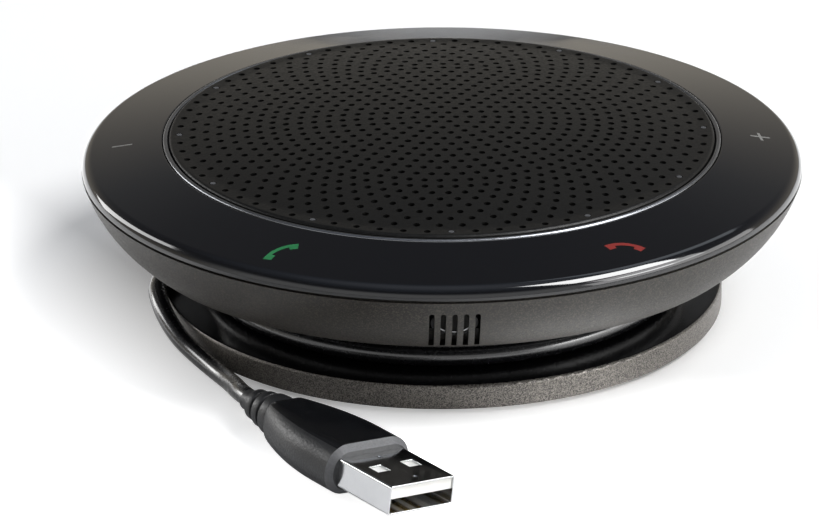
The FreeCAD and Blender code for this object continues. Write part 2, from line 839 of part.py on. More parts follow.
# ------------------------------------------------------------ headset socket
def jack_bar(radius, near, far):
    """Round bar on the socket's axis, between two radii of the body."""
    bar = Part.makeCylinder(radius, far - near, Vector(near, 0, jack_z), Vector(1, 0, 0))
    return swung(bar, jack_angle)


def make_headset_jack():
    """Square socket body with a round barrel that shows in the bowl's side."""
    back = jack_face - jack_depth
    body = block(jack_body, Vector(back - 2 * fit_gap + jack_body[0] / 2, 0, jack_z))
    barrel = jack_bar(jack_barrel, back + jack_body[0] / 2, jack_face)
    return swung(body, jack_angle).fuse(barrel).cut(jack_bar(jack_bore, back, jack_face + wall))


# ------------------------------------------------------------ screws
def make_base_screws():
    length = cover_bottom + screw_bite - floor_bottom
    return Part.makeCompound([
        pan_screw(pilot_radius, screw_head_radius, screw_head_height, length, floor_bottom, p, down=False)
        for p in base_screws])


def make_cover_screws():
    length = cover_thickness + ledge_thickness + screw_bite
    return Part.makeCompound([flat_screw(pilot_radius, screw_head_radius, length, cover_bottom, p)
                              for p in cover_screws])


def small_screws(seat, places):
    return Part.makeCompound([
        pan_screw(small_pilot, small_head_radius, small_head_height, small_screw_length, seat, p)
        for p in places])


def make_board_screws():
    return small_screws(board_top, board_screws)


def make_speaker_screws():
    return small_screws(flange_top, ears)


# ------------------------------------------------------------ cord
def make_cord_winding():
    """Outer shape of the turns that are wound on the neck."""
    inner = neck_radius + fit_gap
    low = base_top + fit_gap
    return ring(inner, inner + turns_across * cord_pitch, low, low + turns_high * cord_pitch)


def rounded_path(points):
    """Straight runs joined by arcs as large as the runs allow; prints the radii."""
    corners = [Vector(*p) for p in points]
    edges = []
    radii = []
    here = corners[0]
    for before, corner, after in zip(corners, corners[1:], corners[2:]):
        back, ahead = before - corner, after - corner
        shorter = min(back.Length, ahead.Length)
        back.normalize()
        ahead.normalize()
        half_turn = (math.pi - back.getAngle(ahead)) / 2
        setback = 0.45 * shorter
        radius = setback / math.tan(half_turn)
        start, end = corner + back * setback, corner + ahead * setback
        inward = (back + ahead).normalize()
        middle = corner + inward * (radius / math.cos(half_turn) - radius)
        edges.append(Part.makeLine(here, start))
        edges.append(Part.Arc(start, middle, end).toShape())
        radii.append(round(radius, 1))
        here = end
    edges.append(Part.makeLine(here, corners[-1]))
    print("cord bend radii:", radii)
    return Part.Wire(edges)


def make_cord_free():
    """Free end of the cord from the winding to the plug."""
    path = rounded_path(cord_route)
    start, towards = Vector(*cord_route[0]), Vector(*cord_route[1])
    section = Part.Wire(Part.makeCircle(cord_radius, start, towards - start))
    tube = path.makePipeShell([section], True, True)
    expected = math.pi * cord_radius ** 2 * path.Length
    print("free cord length:", round(path.Length, 1), "volume ratio:", round(tube.Volume / expected, 4))
    return tube


def placed_on_cord(shape):
    """Plug pieces are made along +X from the cord's end, then turned to lie there."""
    copy = shape.copy()
    copy.rotate(ORIGIN, Vector(1, 0, 0), plug_lean)
    copy.rotate(ORIGIN, UP, plug_heading)
    copy.translate(Vector(*cord_route[-1]))
    return copy


# ------------------------------------------------------------ plug
overmould_start = relief_length
shell_start = overmould_start + overmould_length
plug_end = shell_start + shell_length


def make_plug_strain_relief():
    """Tapered, ribbed sleeve where the cord meets the plug."""
    pitch = relief_length / relief_ribs
    rib, groove, slope = (share * pitch for share in (rib_share, groove_share, slope_share))
    points = [(0.0, 0.0)]
    for i in range(relief_ribs):
        start = pitch * i
        radius = relief_radius + (relief_end_radius - relief_radius) * i / (relief_ribs - 1)
        points += [(start, radius), (start + rib, radius + relief_taper)]
        if i < relief_ribs - 1:
            points += [(start + rib + slope, radius - relief_groove),
                       (start + rib + slope + groove, radius - relief_groove)]
    points += [(relief_length, relief_end_radius), (relief_length, 0.0)]
    wire = Part.makePolygon([Vector(x, 0, r) for x, r in points] + [ORIGIN])
    return placed_on_cord(Part.Face(wire).revolve(ORIGIN, Vector(1, 0, 0), 360))


def flat_oval(x, width, height):
    """Section across the plug: a rectangle with half-round sides."""
    half = height / 2
    side = (width - height) / 2
    corners = [Vector(x, -side, -half), Vector(x, side, -half), Vector(x, side, half),
               Vector(x, -side, half)]
    return Part.Wire([
        Part.makeLine(corners[0], corners[1]),
        Part.Arc(corners[1], Vector(x, side + half, 0), corners[2]).toShape(),
        Part.makeLine(corners[2], corners[3]),
        Part.Arc(corners[3], Vector(x, -side - half, 0), corners[0]).toShape()])


def make_plug_overmould():
    """Soft moulded grip: it swells from the cord to the metal shell."""
    start, end = overmould_start, shell_start
    neck_height = 2 * relief_end_radius
    sections = [
        flat_oval(start, overmould_neck, neck_height),
        flat_oval(start + overmould_length * shoulder_at, overmould_width * shoulder_width,
                  overmould_height * shoulder_height),
        flat_oval(start + overmould_length * full_at, overmould_width, overmould_height),
        flat_oval(end - overmould_bevel, overmould_width, overmould_height),
    ]
    grip = Part.makeLoft(sections, True, False)
    collar = Part.makeLoft([sections[-1], flat_oval(end, overmould_width - 2 * overmould_bevel,
                                                    overmould_height - 2 * overmould_bevel)], True, True)
    return placed_on_cord(grip.fuse(collar))


def make_plug_shell():
    """Folded steel shell with its square latch holes, open at the front."""
    centre = Vector((shell_start + plug_end) / 2, 0, 0)
    outside = block((shell_length, shell_width, shell_height), centre)
    edges = [e for e in outside.Edges
             if abs(e.Vertexes[0].X - e.Vertexes[1].X) > shell_length / 2]
    outside = outside.makeFillet(shell_corner, edges)
    inside = block((shell_length + wall, shell_width - 2 * shell_sheet,
                    shell_height - 2 * shell_sheet), centre)
    holes = [block((shell_hole, shell_hole, shell_height + wall),
                   Vector(plug_end - shell_hole_setback, side, 0))
             for side in (-shell_hole_offset, shell_hole_offset)]
    return placed_on_cord(outside.cut([inside] + holes))


tongue_bottom = shell_height / 2 - shell_sheet - fit_gap / 2 - tongue_plate_height


def make_plug_tongue():
    """Plastic carrier of the contacts, along the top of the shell."""
    length = shell_length - tongue_setback
    width = shell_width - 2 * shell_sheet - fit_gap
    centre = Vector(shell_start + length / 2, 0, tongue_bottom + tongue_plate_height / 2)
    return placed_on_cord(block((length, width, tongue_plate_height), centre))


def make_plug_contacts():
    length, width, height = contact_size
    x = plug_end - contact_setback - length / 2
    first = -(contact_count - 1) / 2
    strips = [block(contact_size, Vector(x, (first + i) * contact_pitch, tongue_bottom - height / 2))
              for i in range(contact_count)]
    return placed_on_cord(Part.makeCompound(strips))


# ------------------------------------------------------------ all sub-parts
save("base_plate", make_base_plate())
save("foot_ring", make_foot_ring())
save("cord_spool", make_cord_spool())
save("cord_grommet", make_cord_grommet())
save("bottom_cover", make_bottom_cover())
save("lower_shell", make_lower_shell())
save("upper_frame", make_upper_frame())
save("touch_ring", make_touch_ring())
save("touch_film", make_touch_film())
save("grille_trim", make_grille_trim())
save("speaker_grille", make_speaker_grille())
save("grille_cloth", make_grille_cloth())
save("led_board", make_led_board())
save("leds", make_leds())
save("light_guide", make_light_guide())
save("speaker_gasket", make_speaker_gasket())
save("speaker_basket", make_speaker_basket())
save("magnet_top_plate", make_top_plate())
save("magnet", make_magnet())
save("magnet_yoke", make_yoke())
save("voice_coil", make_voice_coil())
save("speaker_cone", make_speaker_cone())
save("dust_cap", make_dust_cap())
save("spider", make_spider())
save("surround", make_surround())
save("main_board", make_main_board())
save("shield_can", make_shield_can())
save("chips", make_chips())
save("capacitors", make_capacitors())
save("cable_header", make_cable_header())
save("mic_capsule", make_mic_capsule())
save("mic_boot", make_mic_boot())
save("headset_jack", make_headset_jack())
save("base_screws", make_base_screws())
save("cover_screws", make_cover_screws())
save("board_screws", make_board_screws())
save("speaker_screws", make_speaker_screws())
save("cord_winding", make_cord_winding())
save("cord_free", make_cord_free())
save("plug_strain_relief", make_plug_strain_relief())
save("plug_overmould", make_plug_overmould())
save("plug_shell", make_plug_shell())
save("plug_tongue", make_plug_tongue())
save("plug_contacts", make_plug_contacts())
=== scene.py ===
# %% [markdown]
# # A conference speakerphone
# The CAD part already holds every piece of this speakerphone at its real size. This lesson
# dresses it: it lays the cord, draws the fine shapes that light falls on, gives every piece
# its finish, and sets up a plain studio. The CAD pieces themselves are never moved.

import json
import math

import bmesh
import bpy
from mathutils import Euler, Matrix, Quaternion, Vector


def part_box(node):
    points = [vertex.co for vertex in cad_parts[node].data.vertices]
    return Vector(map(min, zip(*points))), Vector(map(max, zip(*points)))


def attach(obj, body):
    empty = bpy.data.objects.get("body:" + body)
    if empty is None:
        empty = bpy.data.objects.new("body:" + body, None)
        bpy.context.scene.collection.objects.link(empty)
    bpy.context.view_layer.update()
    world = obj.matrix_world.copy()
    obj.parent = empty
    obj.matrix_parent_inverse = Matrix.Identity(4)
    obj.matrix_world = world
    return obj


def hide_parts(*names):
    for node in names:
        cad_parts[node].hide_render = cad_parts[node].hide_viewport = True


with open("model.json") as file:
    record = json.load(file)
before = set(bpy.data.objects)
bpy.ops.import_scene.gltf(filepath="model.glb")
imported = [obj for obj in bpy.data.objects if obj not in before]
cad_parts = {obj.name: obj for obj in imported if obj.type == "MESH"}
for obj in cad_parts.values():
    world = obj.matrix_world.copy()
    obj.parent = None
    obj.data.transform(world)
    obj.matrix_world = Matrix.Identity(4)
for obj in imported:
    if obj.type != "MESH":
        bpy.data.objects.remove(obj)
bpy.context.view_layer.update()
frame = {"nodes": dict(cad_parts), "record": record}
nodes = frame["nodes"]
print("CAD pieces:", len(nodes))

# %% [markdown]
# ## The camera
# A long lens from about 70 cm away looks down on the top by 23 degrees. A long lens keeps the
# round body round, as a product photographer would want it.

# %% Camera
CAMERA_PLACE = (-0.02310, -0.66138, 0.28644)  # metres: in front of the object and above it
LOOKS_DOWN, LOOKS_RIGHT = 22.92, 1.555  # degrees
CAMERA_ROLL = -0.0040  # radians, the lean of a camera levelled by hand

camera_data = bpy.data.cameras.new("product_view")
camera_data.lens = 195.25
camera_data.sensor_width = 36.0
camera_data.clip_start = 0.05
camera_data.clip_end = 20.0
camera = bpy.data.objects.new("product_view", camera_data)
camera.location = CAMERA_PLACE
aim = Euler((math.radians(90 - LOOKS_DOWN), 0.0, math.radians(-LOOKS_RIGHT))).to_quaternion()
camera.rotation_mode = "QUATERNION"
camera.rotation_quaternion = aim @ Quaternion((0, 0, 1), CAMERA_ROLL)
bpy.context.scene.collection.objects.link(camera)
bpy.context.scene.camera = camera
print("camera looks down by", LOOKS_DOWN, "degrees")

# %% [markdown]
# ## The cord
# The cord is 3 mm thick and limp, and most of it is wound on the neck in two layers of about
# two turns. A NURBS curve suits it, because a spline of order 3 bends the way a soft cord
# does. Its turns are control points on a circle, a little outside the real radius, since the
# spline cuts inside its points. From one turn to the next the cord climbs or steps outwards
# over a short stretch, as a hand winds it. The last points are listed one by one: over the
# base's rim, down to the table and along it to the plug.

# %% Lay the cord
CORD_RADIUS = 1.5  # all lengths are in millimetres until mm() turns them to metres
TURN_STEP = 10.0  # degrees between control points of the winding
FIRST_ANGLE, LAST_ANGLE = 237.0, 148.9 + 4 * 360.0
BUSH_RADIUS, BUSH_HEIGHT = 32.9, 6.35  # where the cord comes out of the neck
FREE_END = [
    (-32.5, 19.6, 6.4), (-39.6, 6.9, 6.6), (-46.1, -7.6, 6.9), (-45.0, -16.2, 5.7),
    (-42.3, -22.0, 3.4), (-39.5, -25.8, 2.1), (-36.2, -31.4, 1.6), (-33.3, -38.6, 2.4),
    (-32.0, -46.2, 4.3), (-28.7, -51.6, 4.5),
]


def mm(*values):
    """A point in millimetres as a vector in metres."""
    return Vector(values) * 0.001


def on_circle(radius, angle):
    """The point of a circle round the main axis at an angle in degrees."""
    turn = math.radians(angle)
    return radius * math.cos(turn), radius * math.sin(turn)


def eased(value, start, end):
    """0 before start, 1 after end, and a smooth step between them."""
    share = min(1.0, max(0.0, (value - start) / (end - start)))
    return share * share * (3 - 2 * share)


def winding_place(angle):
    """Radius and height of the wound cord's middle line at an angle, counted on turn by turn."""
    out_of_bush = eased(angle, 233, 258)
    up = eased(angle, 206 + 360, 226 + 360)
    outwards = eased(angle, 188 + 720, 208 + 720)
    down = eased(angle, 170 + 1080, 190 + 1080)
    return (BUSH_RADIUS + 1.9 * out_of_bush + 2 * CORD_RADIUS * outwards,
            BUSH_HEIGHT + 2 * CORD_RADIUS * (up - down))


cord_points = []
angle = FIRST_ANGLE
while angle < LAST_ANGLE - TURN_STEP / 2:
    radius, height = winding_place(angle)
    if cord_points:
        radius /= math.cos(math.radians(TURN_STEP / 2))
    cord_points.append(mm(*on_circle(radius, angle), height))
    angle += TURN_STEP
cord_points += [mm(*point) for point in FREE_END]

cord_curve = bpy.data.curves.new("usb_cord", "CURVE")
cord_curve.dimensions = "3D"
cord_curve.bevel_depth = 1.0  # metres, times each point's own radius
cord_curve.bevel_resolution = 5
cord_curve.resolution_u = 6
cord_curve.use_fill_caps = True
spline = cord_curve.splines.new("NURBS")
spline.points.add(len(cord_points) - 1)
for point, place in zip(spline.points, cord_points):
    point.co = (*place, 1.0)
    point.radius = CORD_RADIUS * 0.001
spline.order_u = 3
spline.use_endpoint_u = True
cord = bpy.data.objects.new("usb_cord", cord_curve)
bpy.context.scene.collection.objects.link(cord)
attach(cord, "body")
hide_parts("cord_winding", "cord_free")
print("cord points:", len(cord_points), "turns:", round((LAST_ANGLE - FIRST_ANGLE) / 360, 2))

# %% [markdown]
# ## Tools for finishes
# Every finish is a Principled shader fed by a few procedural nodes. Colours are written as the
# sRGB hex values that a designer would pick, and one function turns them to the linear light
# that the shader needs. Pattern sizes are real sizes: a grain of 0.3 mm repeats 3333 times in
# a metre, and that number is the texture's scale. On real things one cause often changes
# colour, gloss and height together, so one function lets a pattern drive all three.

# %% Finish tools
def hex_colour(code):
    """sRGB hex such as #1B1C20 as the linear colour that the shader needs."""
    channels = [int(code[i:i + 2], 16) / 255 for i in (1, 3, 5)]
    linear = [c / 12.92 if c <= 0.04045 else ((c + 0.055) / 1.055) ** 2.4 for c in channels]
    return (*linear, 1.0)


def per_metre(size_mm):
    """Texture scale for a pattern whose features are this many millimetres."""
    return 1000.0 / size_mm


def add_node(tree, kind, inputs=None, **settings):
    """Adds a node; an input is either a value or another node's output to link."""
    node = tree.nodes.new(kind)
    for name, value in settings.items():
        setattr(node, name, value)
    for name, value in (inputs or {}).items():
        if isinstance(value, bpy.types.NodeSocket):
            tree.links.new(value, node.inputs[name])
        else:
            node.inputs[name].default_value = value
    return node


def new_finish(name, colour, roughness, metallic=0.0, **more):
    """A material with one Principled shader; returns it with its tree, shader and place."""
    material = bpy.data.materials.new(name)
    material.use_nodes = True
    tree = material.node_tree
    shader = tree.nodes["Principled BSDF"]
    shader.inputs["Base Color"].default_value = hex_colour(colour)
    shader.inputs["Roughness"].default_value = roughness
    shader.inputs["Metallic"].default_value = metallic
    for key, value in more.items():
        shader.inputs[key.replace("_", " ")].default_value = value
    place = tree.nodes.new("ShaderNodeTexCoord").outputs["Object"]
    return material, tree, shader, place


def vary(finish, pattern, colours=None, roughness=None, height_mm=None, strength=1.0,
         detail=3.0, ends=(0.3, 0.7)):
    """Lets a pattern, or clouds of this size in mm, change a finish; returns the pattern."""
    _, tree, shader, place = finish
    if not isinstance(pattern, bpy.types.NodeSocket):
        clouds = {"Vector": place, "Scale": per_metre(pattern), "Detail": detail}
        pattern = add_node(tree, "ShaderNodeTexNoise", clouds).outputs["Fac"]
    if colours:
        ramp = add_node(tree, "ShaderNodeValToRGB", {"Fac": pattern})
        for stop, colour in zip(ramp.color_ramp.elements, colours):
            stop.color = hex_colour(colour)
        tree.links.new(ramp.outputs["Color"], shader.inputs["Base Color"])
    if roughness:
        spread = add_node(tree, "ShaderNodeMapRange",
                          {"Value": pattern, "From Min": ends[0], "From Max": ends[1],
                           "To Min": roughness[0], "To Max": roughness[1]})
        tree.links.new(spread.outputs["Result"], shader.inputs["Roughness"])
    if height_mm:
        raised = add_node(tree, "ShaderNodeBump", {"Height": pattern, "Strength": strength,
                                                   "Distance": height_mm * 0.001})
        tree.links.new(raised.outputs["Normal"], shader.inputs["Normal"])
    return pattern


finishes = {}
print("finish tools ready")

# %% [markdown]
# ## Gloss black of the touch ring
# The ring is injection moulded polycarbonate, polished like a phone's front. It is almost a
# black mirror, so its colour is very dark with a trace of blue, and all its life is in what
# it reflects. A faint unevenness of the moulding and a film of fine dust keep it from looking
# computed.

# %% Gloss black polycarbonate
finish = new_finish("gloss_black_polycarbonate", "#0B0C10", 0.06, IOR=1.58)
material, tree, shader, place = finish
vary(finish, 9.0, roughness=(0.035, 0.11), detail=4.0)
dust = add_node(tree, "ShaderNodeTexVoronoi", {"Vector": place, "Scale": per_metre(1.3)})
specks = add_node(tree, "ShaderNodeMath", {0: dust.outputs["Distance"], 1: 0.045},
                  operation="LESS_THAN")
vary(finish, specks.outputs["Value"], colours=("#0B0C10", "#2A2B2E"))
vary(finish, 24.0, height_mm=0.02, strength=0.35, detail=1.0)
finishes["touch_gloss"] = finishes["gloss_housing"] = material
print("made", material.name)

# %% [markdown]
# ## Spark-eroded ABS with a fine sparkle
# The bowl and the base's side are ABS with metal flakes in it, moulded in a spark-eroded tool.
# That leaves a fine, even grain which scatters light, and single flakes that glint. A flake is
# drawn 0.17 mm wide on the bowl and 0.12 mm on the base; real ones are smaller, but they
# would vanish at this distance.

# %% Sparkling textured ABS
def sparkling_abs(name, shades, flake_colour, flake_share, gloss, flake_mm, dull_share):
    """Textured charcoal plastic; dull_share of its cells hold no flake at all."""
    finish = new_finish(name, shades[1], 0.5, IOR=1.54, Specular_IOR_Level=0.35)
    _, tree, shader, place = finish
    vary(finish, 7.0, colours=shades, detail=4.0)
    body = shader.inputs["Base Color"].links[0].from_socket
    flakes = add_node(tree, "ShaderNodeTexVoronoi", {"Vector": place, "Scale": per_metre(flake_mm)})
    chosen = add_node(tree, "ShaderNodeSeparateColor", {"Color": flakes.outputs["Color"]})
    flake = add_node(tree, "ShaderNodeMapRange",
                     {"Value": chosen.outputs["Red"], "From Min": dull_share, "From Max": 1.0,
                      "To Min": 0.0, "To Max": flake_share}).outputs["Result"]
    mixed = add_node(tree, "ShaderNodeMix", {"Factor": flake}, data_type="RGBA")
    tree.links.new(body, mixed.inputs[6])
    mixed.inputs[7].default_value = hex_colour(flake_colour)
    tree.links.new(mixed.outputs[2], shader.inputs["Base Color"])
    tree.links.new(flake, shader.inputs["Metallic"])
    vary(finish, chosen.outputs["Green"], roughness=(gloss, gloss + 0.16), ends=(0.0, 1.0))
    vary(finish, 0.22, height_mm=0.03, strength=0.5, detail=2.0)
    return finish


finishes["bowl_plastic"] = sparkling_abs("spark_eroded_abs", ("#22201E", "#2A2825"), "#797368",
                                         0.32, 0.42, 0.17, 0.55)[0]
print("made", finishes["bowl_plastic"].name)

# %% [markdown]
# ## The base has two finishes
# The base's side is grained like the bowl, with finer and more flakes. Only its top, under
# the cord, is polished; the polish starts at the rounded edge, so the shader picks by height.

# %% Base: grained side, polished top
POLISHED_ABOVE = 0.00466  # metres over the table
POLISH = {"Base Color": hex_colour("#0A0A0C"), "Roughness": 0.12, "Metallic": 0.0}

finish = sparkling_abs("grained_base_with_polished_top", ("#2A2826", "#32302D"), "#99948E",
                       0.8, 0.34, 0.12, 0.1)
base_finish, tree, shader, place = finish
height = add_node(tree, "ShaderNodeSeparateXYZ", {"Vector": place}).outputs["Z"]
polished = add_node(tree, "ShaderNodeMath", {0: height, 1: POLISHED_ABOVE},
                    operation="GREATER_THAN").outputs["Value"]
for socket, value in POLISH.items():
    is_colour = socket == "Base Color"
    grained, smooth, out = (6, 7, 2) if is_colour else (2, 3, 0)  # the Mix node's own numbers
    mix = add_node(tree, "ShaderNodeMix", {"Factor": polished},
                   data_type="RGBA" if is_colour else "FLOAT")
    tree.links.new(shader.inputs[socket].links[0].from_socket, mix.inputs[grained])
    mix.inputs[smooth].default_value = value
    tree.links.new(mix.outputs[out], shader.inputs[socket])
print("made", base_finish.name)

# %% [markdown]
# ## Painted steel of the grille
# The dome is perforated steel with a black powder coat. The coat is satin and a little orange
# peeled, and it swallows light, so its specular level is low.

# %% Powder-coated steel
finish = new_finish("satin_powder_coat", "#0E0E0E", 0.38, IOR=1.48, Specular_IOR_Level=0.22)
vary(finish, 12.0, colours=("#080808", "#0E0E0D"))
vary(finish, 0.5, roughness=(0.34, 0.5), height_mm=0.03, strength=0.4, detail=2.0)
finishes["grille_paint"] = finishes["basket_paint"] = finish[0]
print("made", finish[0].name)

# %% [markdown]
# ## Polished aluminium hoop
# The hoop round the grille is turned aluminium, polished and clear anodised, which leaves it
# a little satin. Polishing follows the turning, so its faint lines run round the hoop.

# %% Polished anodised aluminium
finish = new_finish("polished_anodised_aluminium", "#7E8084", 0.3, 1.0)
material, tree, shader, place = finish
lines = add_node(tree, "ShaderNodeTexWave",
                 {"Vector": place, "Scale": per_metre(1.2), "Distortion": 1.5},
                 wave_type="RINGS", rings_direction="Z")
vary(finish, lines.outputs["Fac"], roughness=(0.24, 0.36), ends=(0.0, 1.0))
vary(finish, 5.0, colours=("#727478", "#888A8E"))
finishes["trim"] = material
print("made", material.name)

# %% [markdown]
# ## Soft PVC of the cord and the plug's grip
# The jacket is extruded PVC, black and satin, with a thin skin of gloss from the hot die. The
# grip is moulded from the same soft plastic, with a fine leather-like grain on its sides.

# %% Soft black PVC
finish = new_finish("satin_pvc_jacket", "#121214", 0.33, IOR=1.53, Coat_Weight=0.8,
                    Coat_Roughness=0.2)
vary(finish, 1.5, roughness=(0.21, 0.31))
vary(finish, 7.0, colours=("#0F0F11", "#18181B"))
vary(finish, 0.6, height_mm=0.02, strength=0.35, detail=2.0)
finishes["cord_jacket"] = finish[0]

finish = new_finish("grained_soft_pvc", "#161719", 0.4, IOR=1.53)
material, tree, shader, place = finish
grain = add_node(tree, "ShaderNodeTexVoronoi", {"Vector": place, "Scale": per_metre(0.35)})
vary(finish, 3.0, colours=("#121315", "#1C1D20"))
vary(finish, grain.outputs["Distance"], roughness=(0.34, 0.5), ends=(0.0, 0.8),
     height_mm=0.05, strength=0.5)
finishes["soft_grip"] = material
print("made the cord's and the grip's plastic")

# %% [markdown]
# ## Rubber, and the plain mouldings inside
# Moulded rubber is matte and nearly black, with a bloom of wax that makes it patchy. What
# hides inside is ABS straight from a plain tool: matte, with faint flow marks.

# %% Moulded rubber and plain ABS
finish = new_finish("moulded_rubber", "#141416", 0.72, IOR=1.52)
vary(finish, 8.0, colours=("#111113", "#1F1F21"), detail=5.0)
vary(finish, 0.4, height_mm=0.05, strength=0.5)
finishes["foot_rubber"] = finishes["surround_rubber"] = finish[0]

finish = new_finish("plain_moulded_abs", "#1A1A1C", 0.55, IOR=1.54)
vary(finish, 14.0, colours=("#171719", "#212124"), roughness=(0.48, 0.62), detail=4.0)
vary(finish, 0.35, height_mm=0.03, strength=0.4, detail=2.0)
finishes["inner_plastic"] = finishes["satin_housing"] = finish[0]
print("made the rubber and the plain plastic")

# %% [markdown]
# ## Bright nickel and plated steel
# The plug's small metal is nickel plated and bright. Screws, magnet plates and cans are
# duller, with zinc's cloudy patches. Each row gives a metal's gloss clouds and colour clouds,
# both with their size in millimetres.

# %% Plated metals
METALS = [
    ("plug_chrome", "bright_nickel_plate", "#D2D3D5", 0.16, (0.7, 0.11, 0.24),
     (2.5, "#C6C7C9", "#DEDFE0")),
    ("steel", "zinc_plated_steel", "#8F9296", 0.34, (1.2, 0.26, 0.46),
     (4.0, "#7C7F83", "#9DA0A4")),
    ("tinned_steel", "tinned_steel_sheet", "#B4B6B8", 0.3, (2.0, 0.22, 0.4),
     (6.0, "#A6A8AA", "#BEC0C2")),
    ("capsule_metal", "satin_capsule_aluminium", "#C2C4C6", 0.28, (0.8, 0.22, 0.36), None),
    ("gold_contact", "gold_plated_contacts", "#D8B04A", 0.22, (0.6, 0.16, 0.3), None),
]
for slot, name, colour, roughness, gloss_clouds, colour_clouds in METALS:
    finish = new_finish(name, colour, roughness, 1.0)
    vary(finish, gloss_clouds[0], roughness=gloss_clouds[1:])
    if colour_clouds:
        vary(finish, colour_clouds[0], colours=colour_clouds[1:])
    finishes[slot] = finish[0]
finishes["screw_steel"] = finishes["steel"]

finish = new_finish("enamelled_copper_wire", "#B06A3C", 0.3, 1.0)
wires = add_node(finish[1], "ShaderNodeTexWave", {"Vector": finish[3], "Scale": per_metre(2.0)},
                 bands_direction="Z")
vary(finish, wires.outputs["Fac"], height_mm=0.08)
finishes["copper_wire"] = finish[0]
print("made the plated metals")

# %% [markdown]
# ## Pale plastics, cloth, paper and boards
# These show only through gaps or in a section, but each gets what it is made of: nylon, clear
# polycarbonate, woven acoustic cloth, pressed paper, solder mask. The cloth's threads are
# drawn coarser than they are.

# %% Small finishes
def simple_finish(slot, name, dark, light, roughness, size_mm, depth_mm=0.02, **more):
    """A finish of one cloudy pattern in colour, gloss and height."""
    finish = new_finish(name, light, roughness, **more)
    vary(finish, size_mm, colours=(dark, light), height_mm=depth_mm, strength=0.4, detail=4.0,
         roughness=(roughness * 0.85, min(1.0, roughness * 1.15)))
    finishes[slot] = finish[0]


simple_finish("tongue_plastic", "white_nylon", "#E4E4E0", "#F2F2EF", 0.4, 2.0)
simple_finish("header_plastic", "ivory_nylon", "#DCD8C8", "#E8E5D8", 0.45, 2.0)
simple_finish("clear_guide", "smoked_polycarbonate", "#3A3C40", "#505257", 0.12, 6.0, IOR=1.58)
simple_finish("lamp", "clear_lamp_resin", "#DEDCCF", "#ECEAE0", 0.15, 3.0)
simple_finish("film", "copper_on_polyimide", "#6E5024", "#8A6830", 0.35, 5.0)
simple_finish("circuit_board", "green_solder_mask", "#17402A", "#205034", 0.32, 4.0)
simple_finish("foam", "closed_cell_foam", "#222224", "#333336", 0.95, 0.6, 0.1)
simple_finish("ferrite", "pressed_ferrite", "#262628", "#343436", 0.7, 1.0)
simple_finish("cone_paper", "pressed_paper_pulp", "#1C1C1E", "#2A2A2C", 0.85, 0.8, 0.06)
simple_finish("spider_cloth", "resin_dipped_cloth", "#96762F", "#B08C46", 0.7, 0.6, 0.06)
simple_finish("chip_resin", "black_epoxy", "#18181A", "#222224", 0.55, 0.8)

finish = new_finish("woven_acoustic_cloth", "#0C0C0E", 0.9)
material, tree, shader, place = finish
warp, weft = [add_node(tree, "ShaderNodeTexWave", {"Vector": place, "Scale": per_metre(1.4)},
                       bands_direction=axis).outputs["Fac"] for axis in "XY"]
weave = add_node(tree, "ShaderNodeMath", {0: warp, 1: weft}, operation="MULTIPLY")
vary(finish, weave.outputs["Value"], colours=("#070708", "#141416"), height_mm=0.08)
finishes["cloth"] = material
print("finishes:", len(finishes))

# %% [markdown]
# ## Finishes for the CAD pieces
# The part's record names a material slot for every piece, and the slot picks the finish.

# %% Give every CAD piece its finish
for subpart in frame["record"]["subparts"]:
    piece = nodes[subpart["node"]]
    piece.data.materials.clear()
    piece.data.materials.append(finishes[subpart["material_slot"]])
nodes["base_plate"].data.materials[0] = base_finish
cord.data.materials.append(finishes["cord_jacket"])

# %% [markdown]
# ## Tools for shapes
# Most of the body is round, so most new pieces are a small cross-section spun round the main
# axis. Corners of the section are rounded before the spin, because a rounded edge is what
# catches the light on the real moulding.

# %% Shape tools
def finished_piece(name, bm, *materials, smooth_angle=32.0):
    """Turns a bmesh into a piece that rides on the body, with soft shading and crisp corners."""
    for face in bm.faces:
        face.smooth = True
    for edge in bm.edges:
        if len(edge.link_faces) == 2:
            edge.smooth = edge.calc_face_angle(0.0) < math.radians(smooth_angle)
    mesh = bpy.data.meshes.new(name)
    bm.to_mesh(mesh)
    bm.free()
    for material in materials:
        mesh.materials.append(material)
    piece = bpy.data.objects.new(name, mesh)
    bpy.context.scene.collection.objects.link(piece)
    even = piece.modifiers.new("even_shading", "WEIGHTED_NORMAL")
    even.keep_sharp = True
    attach(piece, "body")
    print(name, "triangles:", sum(len(p.vertices) - 2 for p in mesh.polygons))
    return piece


def round_off(bm, geom, size, segments, affect="EDGES", material=-1):
    """Rounds edges or corners by a size in millimetres; one segment makes a chamfer."""
    bmesh.ops.bevel(bm, geom=geom, offset=size * 0.001, offset_type="OFFSET", segments=segments,
                    profile=0.5, affect=affect, material=material, clamp_overlap=True)


def section(bm, corners, rounding):
    """A closed outline of (radius, height) points in the XZ plane, with some corners rounded."""
    verts = [bm.verts.new(mm(r, 0, z)) for r, z in corners]
    bm.faces.new(verts)
    for index, size in rounding.items():
        round_off(bm, [verts[index]], size, 8, affect="VERTICES")
    bmesh.ops.delete(bm, geom=list(bm.faces), context="FACES_ONLY")


def turn_round(bm, steps, axis=(0, 0, 1)):
    """Spins the outline once round an axis, as a lathe would."""
    bmesh.ops.spin(bm, geom=list(bm.edges) + list(bm.verts), cent=(0, 0, 0), axis=axis,
                   angle=math.tau, steps=steps, use_merge=True, dvec=(0, 0, 0))
    bmesh.ops.remove_doubles(bm, verts=list(bm.verts), dist=1e-7)
    bmesh.ops.recalc_face_normals(bm, faces=list(bm.faces))


def face_up(bm):
    """Makes all faces look the same way, and up."""
    bmesh.ops.recalc_face_normals(bm, faces=list(bm.faces))
    if sum(face.normal.z for face in bm.faces) < 0:
        bmesh.ops.reverse_faces(bm, faces=list(bm.faces))


